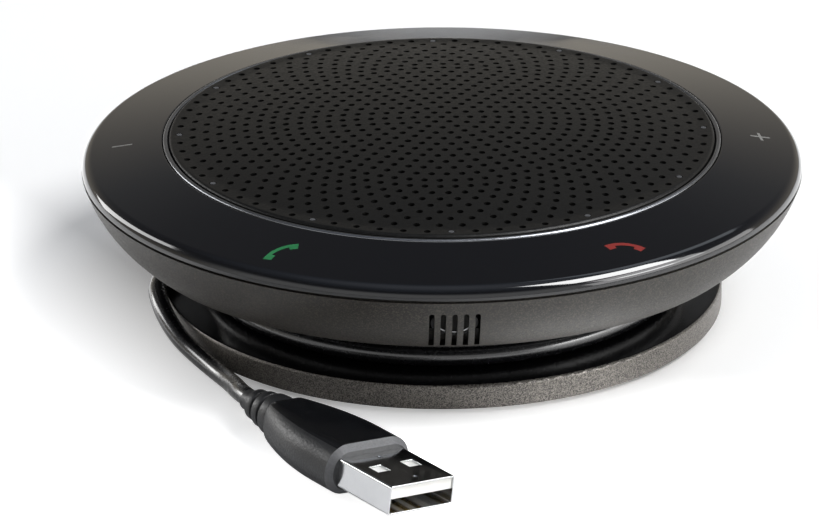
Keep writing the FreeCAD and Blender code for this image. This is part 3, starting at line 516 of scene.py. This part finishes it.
# %% [markdown]
# ## Touch ring
# One glossy moulding: a sloping top, a round bevel and an upright side band. The other corners
# are rounded only by a few tenths of a millimetre, as the tool's polished edges leave them.

# %% Touch ring
ring_outline = [
    (44.6, 26.85), (44.6, 28.25), (57.25, 25.83), (57.5, 23.95), (56.2, 23.95), (56.2, 24.63),
]
bm = bmesh.new()
section(bm, ring_outline, {1: 0.25, 2: 1.4, 3: 0.2})
turn_round(bm, 240)
touch_ring = finished_piece("touch_ring_gloss", bm, finishes["touch_gloss"])
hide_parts("touch_ring")

# %% [markdown]
# ## Polished hoop
# A turned hoop with a fully round top stands 0.2 mm above the ring's inner edge.

# %% Polished hoop
bm = bmesh.new()
section(bm, [(43.65, 27.2), (43.65, 28.45), (44.5, 28.45), (44.5, 27.2)], {1: 0.36, 2: 0.36})
turn_round(bm, 240)
hoop = finished_piece("polished_hoop", bm, finishes["trim"])
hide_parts("grille_trim")

# %% [markdown]
# ## Perforated dome
# The sheet has 961 holes of 1.1 mm and 12 light windows: rings of 6, 12, 18 and so on from
# the middle, then eight rings of 72, the last one with the windows. It could be a texture
# with transparency, but real holes catch light on their rims and show the cloth below. So
# circles are laid out flat, the space between them is filled with triangles, the sheet is
# pressed into a dome by moving its points up, and at last it gets its thickness.

# %% Perforated dome
HOLE_RADIUS, WINDOW_RADIUS, WINDOW_CIRCLE = 0.55, 0.6, 41.85
DOME_RADIUS, SHEET_RADIUS, RIM_HEIGHT, CROWN = 41.1, 43.5, 28.8, 2.4
EDGE_ROUND = 0.55  # the sheet's edge is pressed down to the hoop with this radius
SHEET_THICKNESS = 0.95
HOLE_STEP, OUTER_STEP = 2.26, 2.12  # between the rings of holes, inside and outside


def circle_places(count, radius, first=0.0):
    """Points spread evenly on a circle, in millimetres."""
    return [on_circle(radius, first + 360 * i / count) for i in range(count)]


def dome_height(radius):
    """Height of the dome's top at a radius; its edge is turned down like a plate's."""
    past = min(EDGE_ROUND * 0.95, max(0.0, radius - SHEET_RADIUS + EDGE_ROUND))
    turned_down = EDGE_ROUND - math.sqrt(EDGE_ROUND ** 2 - past ** 2)
    return RIM_HEIGHT + CROWN * max(0.0, 1 - (radius / DOME_RADIUS) ** 2) - turned_down


def flat_circle(bm, x, y, radius, sides):
    """A circle of edges lying flat."""
    bmesh.ops.create_circle(bm, cap_ends=False, radius=radius * 0.001, segments=sides,
                            matrix=Matrix.Translation(mm(x, y, 0)))


def filled(bm, outer, inner, holes):
    """Fills the space between an outer circle, an inner one and the holes, and joins it to bm."""
    patch = bmesh.new()
    for radius in (inner, outer):
        if radius:
            flat_circle(patch, 0, 0, radius, 12 * max(2, round(radius / 3)))
    for x, y, radius in holes:
        flat_circle(patch, x, y, radius, 12)
    bmesh.ops.triangle_fill(patch, use_beauty=True, use_dissolve=False, edges=list(patch.edges),
                            normal=(0, 0, 1))
    mesh = bpy.data.meshes.new("patch")
    patch.to_mesh(mesh)
    patch.free()
    bm.from_mesh(mesh)
    bpy.data.meshes.remove(mesh)


windows = circle_places(12, WINDOW_CIRCLE)
rows = [(0.0, [(0.0, 0.0)])]
rows += [(HOLE_STEP * row, circle_places(6 * row, HOLE_STEP * row)) for row in range(1, 12)]
for row in range(7, 0, -1):
    radius = WINDOW_CIRCLE - OUTER_STEP * row
    rows.append((radius, circle_places(72, radius, 2.5 if row % 2 else 0.0)))
between = [(low[0] + high[0]) / 2 for low, high in zip(rows, rows[1:])]
limits = [0.0] + between + [DOME_RADIUS]
plain_holes = [(x, y, HOLE_RADIUS) for x, y in circle_places(72, WINDOW_CIRCLE)
               if min(math.dist((x, y), window) for window in windows) > 1.0]
rim_holes = plain_holes + [(x, y, WINDOW_RADIUS) for x, y in windows]

bm = bmesh.new()
for index, (_, places) in enumerate(rows):
    filled(bm, limits[index + 1], limits[index], [(x, y, HOLE_RADIUS) for x, y in places])
edge_rings = [DOME_RADIUS] + [SHEET_RADIUS - EDGE_ROUND * share for share in (1, 0.6, 0.3, 0.12, 0)]
for inner, outer, holes in zip(edge_rings, edge_rings[1:], [rim_holes, [], [], [], []]):
    filled(bm, outer, inner, holes)
print("sheet area, cm2:", round(sum(face.calc_area() for face in bm.faces) * 1e4, 2))
bmesh.ops.remove_doubles(bm, verts=list(bm.verts), dist=1e-6)
face_up(bm)
for vert in bm.verts:
    vert.co.z = dome_height(math.hypot(vert.co.x, vert.co.y) * 1000) * 0.001
rims = [e for e in bm.edges if e.is_boundary]
walls = bmesh.ops.extrude_edge_only(bm, edges=rims)["geom"]
lower = [item for item in walls if isinstance(item, bmesh.types.BMVert)]
bmesh.ops.translate(bm, verts=lower, vec=mm(0, 0, -SHEET_THICKNESS))
print("holes:", sum(len(places) for _, places in rows) + len(plain_holes))
bmesh.ops.recalc_face_normals(bm, faces=list(bm.faces))
if max(bm.faces, key=lambda f: f.calc_center_median().z).normal.z < 0:
    bmesh.ops.reverse_faces(bm, faces=list(bm.faces))
dome = finished_piece("perforated_dome", bm, finishes["grille_paint"], smooth_angle=40.0)
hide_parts("speaker_grille")

# %% [markdown]
# ## Icons on the ring
# The keys' signs are pad printed under the gloss: minus and plus, a green handset to answer
# and a red one to hang up. Each is drawn flat, moved to its key, and laid on the ring's slope.

# %% Printed inks
KEY_CIRCLE = 51.0
INK_LIFT = 0.012  # the ink's thickness
simple_finish("ink_green", "green_pad_print", "#1F6B3E", "#287A49", 0.35, 0.8)
simple_finish("ink_red", "red_pad_print", "#7A1F1A", "#8A2922", 0.35, 0.8)
simple_finish("ink_grey", "grey_pad_print", "#727271", "#868684", 0.35, 0.8)


def ring_height(radius):
    """Height of the touch ring's top at a radius: it falls by 2.2 mm on its way out."""
    return 26.05 + 2.2 * (56.1 - radius) / (56.1 - 44.6)


def printed(name, bm, angle, turn, ink):
    """Lays a flat sign on the ring, at an angle round it and turned in its own plane."""
    bmesh.ops.subdivide_edges(bm, edges=list(bm.edges), cuts=2, use_grid_fill=True)
    bmesh.ops.rotate(bm, verts=list(bm.verts), cent=(0, 0, 0),
                     matrix=Matrix.Rotation(math.radians(turn), 3, "Z"))
    bmesh.ops.translate(bm, verts=list(bm.verts), vec=mm(*on_circle(KEY_CIRCLE, angle), 0))
    for vert in bm.verts:
        vert.co.z = (ring_height(math.hypot(vert.co.x, vert.co.y) * 1000) + INK_LIFT) * 0.001
    face_up(bm)
    finished_piece(name, bm, finishes[ink])


def bar(bm, length, width, y=0.0):
    """A flat bar of the given size, moved along Y."""
    size = Matrix.Diagonal((length * 0.0005, width * 0.0005, 1, 1))
    bmesh.ops.create_grid(bm, x_segments=1, y_segments=1, size=1.0,
                          matrix=Matrix.Translation(mm(0, y, 0)) @ size)


def arc_strip(bm, inner, outer, start, end):
    """A flat strip between two radii, from one angle to another."""
    ends = [bm.verts.new(mm(*on_circle(radius, start), 0)) for radius in (inner, outer)]
    bmesh.ops.spin(bm, geom=ends + [bm.edges.new(ends)], cent=(0, 0, 0), axis=(0, 0, 1),
                   angle=math.radians(end - start), steps=10, dvec=(0, 0, 0))


def handset(bm):
    """A telephone handset from the side: a bowed grip with a thicker piece at each end."""
    arc_strip(bm, 4.4, 5.1, 128, 52)
    arc_strip(bm, 3.75, 4.4, 128, 110)
    arc_strip(bm, 3.75, 4.4, 70, 52)
    bmesh.ops.translate(bm, verts=list(bm.verts), vec=mm(0, -4.55, 0))


bm = bmesh.new()
bar(bm, 3.3, 0.42)
printed("icon_minus", bm, 180, -7, "ink_grey")
bm = bmesh.new()
bar(bm, 3.2, 0.45)
bar(bm, 0.45, 1.35, 0.9)
bar(bm, 0.45, 1.35, -0.9)
printed("icon_plus", bm, 0, 7, "ink_grey")
for name, angle, turn, ink in (("icon_answer", -120.7, 30, "ink_green"),
                               ("icon_hang_up", -59.3, 2, "ink_red")):
    bm = bmesh.new()
    handset(bm)
    printed(name, bm, angle, turn, ink)

# %% [markdown]
# ## Microphone capsule
# Behind the five slots sits a small electret capsule. Its metal can is curled over a disc of
# black felt. Only the lower half of that curl catches light through the slots; its upper half
# is given the black felt finish as painted shade. It is spun like the other round pieces, then
# turned to face out through the bowl's side, which leans in as it goes down.

# %% Microphone capsule
BOWL_FLARE, BOWL_HEIGHT = 7.1, 10.05  # how far the bowl goes in over its height

simple_finish("mic_felt_and_painted_shade", "pressed_black_felt_and_painted_shade", "#131210", "#1C1B18", 0.95, 0.15, 0.05)
can_low, can_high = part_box("mic_capsule")
can_middle = (Vector(can_low) + Vector(can_high)) / 2
can_outline = [(0.0, 1.0), (2.5, 1.0), (2.5, 1.1), (2.85, 1.1), (3.0, 0.8), (3.0, -1.1),
               (0.0, -1.1)]
bm = bmesh.new()
section(bm, can_outline, {3: 0.16, 4: 0.1})
on_axis = [edge for edge in bm.edges if all(abs(vert.co.x) < 1e-9 for vert in edge.verts)]
bmesh.ops.delete(bm, geom=on_axis, context="EDGES")
turn_round(bm, 64)
for face in bm.faces:
    middle = face.calc_center_median() * 1000
    # The felt face inside 2.5 mm is real felt; the felt finish on the curl's upper half is painted
    # shade.
    felt_face_and_painted_shade = math.hypot(middle.x, middle.y) < 2.5 or middle.y > 0.5
    face.material_index = 1 if middle.z > 0.75 and felt_face_and_painted_shade else 0
lean = math.atan2(BOWL_FLARE, BOWL_HEIGHT)
outward = Vector((0, -math.cos(lean), -math.sin(lean))).to_track_quat("Z", "Y")
bmesh.ops.transform(bm, matrix=Matrix.Translation(can_middle) @ outward.to_matrix().to_4x4(),
                    verts=list(bm.verts))
can = finished_piece("microphone_can", bm, finishes["capsule_metal"], finishes["mic_felt_and_painted_shade"])
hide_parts("mic_capsule")

# %% [markdown]
# ## The USB plug
# The plug lies on the table, leaning over on one edge. All its pieces are made lying along the
# X axis with their middle on it, and one matrix turns and moves them, as in the CAD part.

# %% Place of the plug
plug_place = (Matrix.Translation(mm(-31.1, -48.4, 4.5))
              @ Matrix.Rotation(math.radians(-53.6), 4, "Z")
              @ Matrix.Rotation(math.radians(-8.0), 4, "X"))
RELIEF_LENGTH, GRIP_LENGTH, SHELL_LENGTH = 9.0, 21.4, 12.2
SHELL_START = RELIEF_LENGTH + GRIP_LENGTH
PLUG_END = SHELL_START + SHELL_LENGTH


def block(bm, size, centre):
    """A box of a size about a centre, both in millimetres; returns its vertices."""
    x, y, z = (v * 0.001 for v in size)
    matrix = Matrix.Translation(mm(*centre)) @ Matrix.Diagonal((x, y, z, 1))
    return bmesh.ops.create_cube(bm, size=1.0, matrix=matrix)["verts"]


def edges_along(bm):
    """Edges that run along the plug."""
    runs = {edge: edge.verts[1].co - edge.verts[0].co for edge in bm.edges}
    return [edge for edge, run in runs.items() if abs(run.x) > 0.999 * run.length > 0]


def cut_across(bm, places, axis=0):
    """Cuts the mesh with planes across an axis, at places in millimetres."""
    normal = Vector([float(i == axis) for i in range(3)])
    for place in places:
        bmesh.ops.bisect_plane(bm, geom=list(bm.verts) + list(bm.edges) + list(bm.faces),
                               dist=1e-7, plane_co=normal * place * 0.001, plane_no=normal,
                               clear_inner=False, clear_outer=False)


def edges_at(bm, x):
    """Edges that lie across the plug at a place along it, in millimetres."""
    return [edge for edge in bm.edges if all(abs(v.co.x - x * 0.001) < 1e-6 for v in edge.verts)]


print("plug length, mm:", PLUG_END)

# %% [markdown]
# ## Grip of the plug
# The grip starts as a block: its long edges are rounded until its sides are almost half round,
# it is cut across, and each cross-section is scaled to give the swelling outline. The mould
# is polished for the flat top and eroded elsewhere, roughest on the chamfer round the shell.
# That chamfer's light grey colour is a painted sheen of the light it catches; its grain is real.

# %% Grip of the plug
# The chamfer's light grey is painted sheen for the light it catches; its rough grain is real.
finish = new_finish("eroded_pvc_edge_painted_sheen", "#4C4D50", 0.6, IOR=1.53)
vary(finish, 0.35, colours=("#3A3B3E", "#5C5D60"), height_mm=0.12, strength=0.8)
painted_sheen_edge_finish = finish[0]
finish = new_finish("polished_pvc_panel", "#0C0D0F", 0.2, IOR=1.53)
vary(finish, 2.5, colours=("#0A0B0D", "#101114"), roughness=(0.16, 0.24), height_mm=0.02,
     strength=0.3)
panel_finish = finish[0]

bm = bmesh.new()
block(bm, (GRIP_LENGTH, 15.6, 7.8), (RELIEF_LENGTH + GRIP_LENGTH / 2, 0, 0))
round_off(bm, edges_along(bm), 3.85, 9)
cut_across(bm, [RELIEF_LENGTH + GRIP_LENGTH * i / 14 for i in range(1, 14)])
bm.normal_update()
for face in bm.faces:
    if abs(face.normal.z) > 0.9 and face.calc_center_median().z > 0.002:
        face.material_index = 2  # the top is polished, the sides are grained
front = edges_at(bm, SHELL_START)
for vert in bm.verts:
    share = min(1.0, max(0.0, (vert.co.x * 1000 - RELIEF_LENGTH) / (GRIP_LENGTH * 0.72)))
    swell = math.sin(share * math.pi / 2) ** 0.9
    vert.co.y *= 0.50 + 0.50 * swell
    vert.co.z *= 0.84 + 0.16 * swell
round_off(bm, front, 0.9, 1, material=1)
round_off(bm, edges_at(bm, RELIEF_LENGTH), 0.6, 3)
bmesh.ops.transform(bm, matrix=plug_place, verts=list(bm.verts))
bmesh.ops.recalc_face_normals(bm, faces=list(bm.faces))
grip = finished_piece("plug_grip", bm, finishes["soft_grip"], painted_sheen_edge_finish, panel_finish)
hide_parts("plug_overmould")

# %% [markdown]
# ## Strain relief
# The sleeve that keeps the cord from kinking has three ribs. The slots between them don't run
# all the way round: a web along the top and one along the bottom join the ribs.

# %% Strain relief
TAIL_LENGTH, RIBS = 2.2, 3
WEB_SIZE, WEB_TILT = (5.8, 1.3, 1.0), 10.0  # the webs rise with the ribs, by these degrees

outline = [(0.0, 1.5), (0.0, 1.64), (TAIL_LENGTH, 1.7)]  # along the sleeve, radius
pitch = (RELIEF_LENGTH - TAIL_LENGTH) / RIBS
for rib in range(RIBS):
    radius, start = 2.4 + 0.45 * rib, TAIL_LENGTH + pitch * rib
    outline += [(start, radius), (start + pitch * 0.62, radius + 0.1)]
    if rib < RIBS - 1:
        outline += [(start + pitch * share, radius - 0.55) for share in (0.68, 0.94)]
outline += [(RELIEF_LENGTH + 0.3, 3.3), (RELIEF_LENGTH + 0.3, 1.5)]

bm = bmesh.new()
corners = [bm.verts.new(mm(x, 0, radius)) for x, radius in outline]
bm.faces.new(corners)
round_off(bm, corners[1:-2], 0.18, 2, affect="VERTICES")
bmesh.ops.delete(bm, geom=list(bm.faces), context="FACES_ONLY")
turn_round(bm, 48, axis=(1, 0, 0))
for side in (-1, 1):
    middle = (5.3, 0, side * 2.2)
    web = block(bm, WEB_SIZE, middle)
    bmesh.ops.rotate(bm, verts=web, cent=mm(*middle),
                     matrix=Matrix.Rotation(side * math.radians(-WEB_TILT), 3, "Y"))
bmesh.ops.transform(bm, matrix=plug_place, verts=list(bm.verts))
relief = finished_piece("plug_relief", bm, finishes["soft_grip"])
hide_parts("plug_strain_relief")

# %% [markdown]
# ## Plug shell
# The shell is a folded steel sleeve, 12 by 4.5 mm, 0.3 mm thick, with two square windows on
# each flat side that the socket's springs snap into. Solidifying a plain sleeve gives the wall
# after the windows are cut out of it. The folded seam and the two small pits along the middle
# are only 0.1 mm deep, so the shader presses them in.

# %% Drawn nickel
to_plug = plug_place.inverted()
finish = new_finish("drawn_nickel_plate", "#D2D3D5", 0.1, 1.0)
nickel, tree, shader, place = finish
along = add_node(tree, "ShaderNodeMapping",
                 {"Vector": place, "Location": to_plug.to_translation(),
                  "Rotation": to_plug.to_euler()}).outputs["Vector"]
local = add_node(tree, "ShaderNodeSeparateXYZ", {"Vector": along})
stretched = add_node(tree, "ShaderNodeMapping", {"Vector": along, "Scale": (0.05, 1.0, 1.0)})
drawing = add_node(tree, "ShaderNodeTexNoise", {"Vector": stretched.outputs["Vector"],
                                                "Scale": per_metre(0.25), "Detail": 2.0})
vary(finish, drawing.outputs["Fac"], roughness=(0.07, 0.17))
vary(finish, 2.5, colours=("#CBCCCE", "#DCDDDE"))

SEAM_HALF_WIDTH, SEAM_HALF_LENGTH, PIT_RADIUS = 0.00006, 0.0038, 0.00045  # metres
aside = add_node(tree, "ShaderNodeMath", {0: local.outputs["Y"]}, operation="ABSOLUTE")
seam = add_node(tree, "ShaderNodeMath", {0: aside.outputs["Value"], 1: SEAM_HALF_WIDTH},
                operation="LESS_THAN")
inside = add_node(tree, "ShaderNodeMath",
                  {0: local.outputs["X"], 1: (PLUG_END - 6.2) * 0.001, 2: SEAM_HALF_LENGTH},
                  operation="COMPARE")
height = add_node(tree, "ShaderNodeMath", {0: seam.outputs["Value"], 1: inside.outputs["Value"]},
                  operation="MULTIPLY").outputs["Value"]
for pit_x in (PLUG_END - 1.9, SHELL_START + 1.9):
    offset = add_node(tree, "ShaderNodeVectorMath", {0: along, 1: mm(pit_x, 0, 2.25)},
                      operation="DISTANCE")
    pit = add_node(tree, "ShaderNodeMapRange",
                   {"Value": offset.outputs["Value"], "From Min": 0.0, "From Max": PIT_RADIUS,
                    "To Min": 1.0, "To Max": 0.0})
    height = add_node(tree, "ShaderNodeMath", {0: height, 1: pit.outputs["Result"]},
                      operation="MAXIMUM").outputs["Value"]
pressed = add_node(tree, "ShaderNodeBump",
                   {"Height": height, "Distance": 0.00025, "Strength": 1.0}, invert=True)
tree.links.new(pressed.outputs["Normal"], shader.inputs["Normal"])
print("made", nickel.name)

# %% Nickel shell
WINDOW_SIZE, WINDOW_ASIDE = 2.3, 2.9
bm = bmesh.new()
block(bm, (SHELL_LENGTH, 12.0, 4.5), ((SHELL_START + PLUG_END) / 2, 0, 0))
ends = [face for face in bm.faces if abs(face.normal.x) > 0.9]
bmesh.ops.delete(bm, geom=ends, context="FACES")
round_off(bm, edges_along(bm), 0.45, 4)
window_x = PLUG_END - 6.6
cut_across(bm, [window_x - WINDOW_SIZE / 2, window_x + WINDOW_SIZE / 2])
cut_across(bm, [side * WINDOW_ASIDE + half for side in (-1, 1)
                for half in (-WINDOW_SIZE / 2, WINDOW_SIZE / 2)], axis=1)
squares = [face for face in bm.faces if abs(face.normal.z) > 0.9
           and abs(face.calc_center_median().x * 1000 - window_x) < 0.5
           and abs(abs(face.calc_center_median().y * 1000) - WINDOW_ASIDE) < 0.5]
bmesh.ops.delete(bm, geom=squares, context="FACES")
bmesh.ops.recalc_face_normals(bm, faces=list(bm.faces))
if sum(face.normal.z * face.calc_center_median().z for face in bm.faces) < 0:
    bmesh.ops.reverse_faces(bm, faces=list(bm.faces))
bmesh.ops.transform(bm, matrix=plug_place, verts=list(bm.verts))
shell = finished_piece("plug_sleeve", bm, nickel)
sheet = shell.modifiers.new("sheet_thickness", "SOLIDIFY")
sheet.thickness = 0.0003
sheet.offset = -1.0
edge_round = shell.modifiers.new("stamped_edges", "BEVEL")
edge_round.width = 0.00007
edge_round.segments = 2
edge_round.limit_method = "ANGLE"
shell.modifiers.move(0, 2)
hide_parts("plug_shell")

# %% [markdown]
# ## The cord and its plug belong together
# Whoever lays the cord anew needs its real length, its thickness, where it comes out of the
# neck, and which pieces hang on its end; they are not recorded here.

print("cord and plug done")

# %% [markdown]
# ## Floor
# The floor is a white sheet. To the camera it adds light of its own, much beyond the object's
# front and left edge and little elsewhere: it is pure white there, and keeps a shadow behind.
# From below it is see-through, so that the sole shows. Gloss sees it white too, except
# straight behind and in front at the left: that gives the ring its bright band at the right
# and its black at the front. Close to the base at the front right it glows brighter than white:
# a painted pool of light, seen only in gloss, which the base's side mirrors.
# Each row below is one border of what it adds: what that depends on, where the border starts
# and ends, and the strength before and after it.

# %% Floor
bm = bmesh.new()
bmesh.ops.create_grid(bm, x_segments=1, y_segments=1, size=6.0)
floor_mesh = bpy.data.meshes.new("white_floor")
bm.to_mesh(floor_mesh)
bm.free()
floor = bpy.data.objects.new("white_floor", floor_mesh)
floor.location.z = -0.00003  # just clear of the rubber ring's sole
bpy.context.scene.collection.objects.link(floor)
finish = new_finish("white_paper_sweep", "#F4F4F4", 0.9)
material, tree, shader, place = finish
vary(finish, 120.0, colours=("#F2F2F2", "#F8F8F8"))


def seen_in_gloss(tree, ray):
    """1 where a surface is seen in gloss or through something clear."""
    return add_node(tree, "ShaderNodeMath", {0: ray.outputs["Is Glossy Ray"],
                                             1: ray.outputs["Is Transmission Ray"]},
                    operation="MAXIMUM").outputs["Value"]


spot = add_node(tree, "ShaderNodeSeparateXYZ", {"Vector": place})
bearing = add_node(tree, "ShaderNodeMath", {0: spot.outputs["Y"], 1: spot.outputs["X"]},
                   operation="ARCTAN2").outputs["Value"]
away = add_node(tree, "ShaderNodeVectorMath", {0: place}, operation="LENGTH").outputs["Value"]
leftward = add_node(tree, "ShaderNodeVectorMath", {0: place, 1: (-0.863, -0.506, 0.0)},
                    operation="DOT_PRODUCT").outputs["Value"]
toward_viewer = add_node(tree, "ShaderNodeMath", {0: 0.004, 1: spot.outputs["Y"]},
                         operation="SUBTRACT").outputs["Value"]
in_front = add_node(tree, "ShaderNodeMath", {0: leftward, 1: toward_viewer},
                    operation="MAXIMUM").outputs["Value"]
deg = math.radians(1)
BORDERS = {
    "right_front": (bearing, -97 * deg, -68 * deg, 0.0, 0.85),
    "not_behind": (bearing, 60 * deg, 95 * deg, 1.0, 0.0),
    "left_back": (bearing, 95 * deg, 125 * deg, 0.0, 0.95),
    "left_front": (bearing, -165 * deg, -145 * deg, 0.95, 0.0),
    "far_end": (away, 0.25, 0.9, 1.0, 0.0),
    "not_under": (away, 0.060, 0.085, 0.3, 1.0),
    "near_start": (bearing, -92 * deg, -70 * deg, 0.0, 1.4),
    "near_end": (bearing, -55 * deg, -38 * deg, 1.0, 0.0),
    "near_rim": (away, 0.058, 0.072, 1.0, 0.0),
    "fill": (in_front, 0.036, 0.064, 0.10, 0.85),
}
border = {}
for name, (value, start, end, before, after) in BORDERS.items():
    border[name] = add_node(tree, "ShaderNodeMapRange",
                            {"Value": value, "From Min": start, "From Max": end,
                             "To Min": before, "To Max": after}).outputs["Result"]
# A painted pool of light on the floor, seen only in gloss, close to the base at the front right.
painted_light_pool = border["near_start"]
for name in ("near_end", "near_rim"):
    painted_light_pool = add_node(tree, "ShaderNodeMath", {0: painted_light_pool, 1: border[name]},
                    operation="MULTIPLY").outputs["Value"]
white = border["right_front"]
for value, operation in ((border["not_behind"], "MULTIPLY"), (border["left_back"], "MAXIMUM"),
                         (border["left_front"], "MAXIMUM"), (border["far_end"], "MULTIPLY"),
                         (border["not_under"], "MULTIPLY"), (painted_light_pool, "MAXIMUM")):
    white = add_node(tree, "ShaderNodeMath", {0: white, 1: value},
                     operation=operation).outputs["Value"]
ray = add_node(tree, "ShaderNodeLightPath")
in_gloss = add_node(tree, "ShaderNodeMath", {0: seen_in_gloss(tree, ray), 1: white},
                    operation="MULTIPLY")
glow = add_node(tree, "ShaderNodeMath",
                {0: ray.outputs["Is Camera Ray"], 1: border["fill"],
                 2: in_gloss.outputs["Value"]}, operation="MULTIPLY_ADD")
shader.inputs["Emission Color"].default_value = (1, 1, 1, 1)
tree.links.new(glow.outputs["Value"], shader.inputs["Emission Strength"])
clear = add_node(tree, "ShaderNodeBsdfTransparent")
from_below = add_node(tree, "ShaderNodeMixShader",
                      {0: add_node(tree, "ShaderNodeNewGeometry").outputs["Backfacing"],
                       1: shader.outputs["BSDF"], 2: clear.outputs["BSDF"]})
output = next(node for node in tree.nodes if node.type == "OUTPUT_MATERIAL")
tree.links.new(from_below.outputs["Shader"], output.inputs["Surface"])
floor_mesh.materials.append(material)
print("floor borders:", len(BORDERS))

# %% [markdown]
# ## Room
# The room is pale near the horizon, dark above and a little lighter overhead, so that the
# ring's top goes from black in front to grey at the back. The camera sees it white, and so
# does gloss on its front wall.

# %% Room
SKY = [  # how far up, and its colour there
    (0.0, "#C2BCB1"), (0.10, "#B9B3A8"), (0.24, "#A39E96"), (0.36, "#8C8985"),
    (0.45, "#757575"), (0.57, "#606061"), (0.72, "#555557"), (0.90, "#7A808A"), (1.0, "#B4B9C4"),
]
world = bpy.data.worlds.new("studio_room")
bpy.context.scene.world = world
world.use_nodes = True
tree = world.node_tree
direction = add_node(tree, "ShaderNodeTexCoord").outputs["Generated"]
toward = add_node(tree, "ShaderNodeSeparateXYZ", {"Vector": direction})
ramp = add_node(tree, "ShaderNodeValToRGB", {"Fac": toward.outputs["Z"]})
ramp.color_ramp.elements[1].position = SKY[-1][0]
for rise, _ in SKY[1:-1]:
    ramp.color_ramp.elements.new(rise)
for stop, (_, colour) in zip(ramp.color_ramp.elements, SKY):
    stop.color = hex_colour(colour)
ray = add_node(tree, "ShaderNodeLightPath")
wall = seen_in_gloss(tree, ray)
for value, start, end in ((toward.outputs["Y"], -0.45, -0.05), (toward.outputs["Z"], 0.38, 0.60)):
    fade = add_node(tree, "ShaderNodeMapRange", {"Value": value, "From Min": start,
                                                 "From Max": end, "To Min": 1.0, "To Max": 0.0})
    wall = add_node(tree, "ShaderNodeMath", {0: wall, 1: fade.outputs["Result"]},
                    operation="MULTIPLY").outputs["Value"]
white = add_node(tree, "ShaderNodeMath", {0: ray.outputs["Is Camera Ray"], 1: wall},
                 operation="MAXIMUM")
seen = add_node(tree, "ShaderNodeMix", {"Factor": white.outputs["Value"]}, data_type="RGBA")
tree.links.new(ramp.outputs["Color"], seen.inputs[6])
seen.inputs[7].default_value = (1.0, 1.0, 1.0, 1.0)
tree.links.new(seen.outputs[2], tree.nodes["Background"].inputs["Color"])
print("room colours:", len(SKY))

# %% [markdown]
# ## Lamps
# A softbox high at the right draws the bright line on the bevel, a long window low at the
# right lights the sides, one at the right back models the top, and a strip at the back left
# draws the left edge. Three lamps act on gloss alone, which no real lamp can do: they
# brighten what is mirrored and leave the colours as the other lamps show them.

# %% Lamps
def softbox(name, azimuth, elevation, distance, width, height, power, roll=0.0,
            colour=(1.0, 1.0, 1.0), only_gloss=False):
    """A rectangular lamp that looks at the object from an angle round it and a height."""
    lamp = bpy.data.lights.new(name, "AREA")
    lamp.shape = "RECTANGLE"
    lamp.size, lamp.size_y = width, height
    lamp.energy = power
    lamp.color = colour
    holder = bpy.data.objects.new(name, lamp)
    out, up = on_circle(1.0, elevation)
    toward = Vector((*on_circle(out, azimuth), up))
    holder.location = toward * distance
    turned = toward.to_track_quat("Z", "Y") @ Quaternion((0, 0, 1), math.radians(roll))
    holder.rotation_euler = turned.to_euler()
    holder.visible_diffuse = not only_gloss
    bpy.context.scene.collection.objects.link(holder)


softbox("key_softbox_right", -20, 54, 1.2, 0.69, 0.55, 12.0, roll=-15)
softbox("key_glint", -20, 54, 1.19, 0.66, 0.50, 8.0, roll=-15, only_gloss=True)
softbox("key_lower_glow", -22, 29, 1.2, 0.75, 0.40, 4.4, only_gloss=True)
softbox("cord_glint", -26, 22, 1.2, 0.40, 0.14, 1.1, only_gloss=True)
softbox("window_right", -15, 14, 1.3, 1.6, 0.5, 8.0)
softbox("window_right_back", 50, 53, 1.5, 0.55, 0.70, 1.2, colour=(0.85, 0.93, 1.0))
softbox("strip_left", 153, 19, 1.2, 0.85, 0.30, 5.0, roll=41.5)

# %% [markdown]
# ## Last settings
# Standard colour keeps every finish as it was written.

# %% View settings
bpy.context.scene.view_settings.view_transform = "Standard"
bpy.context.view_layer.update()
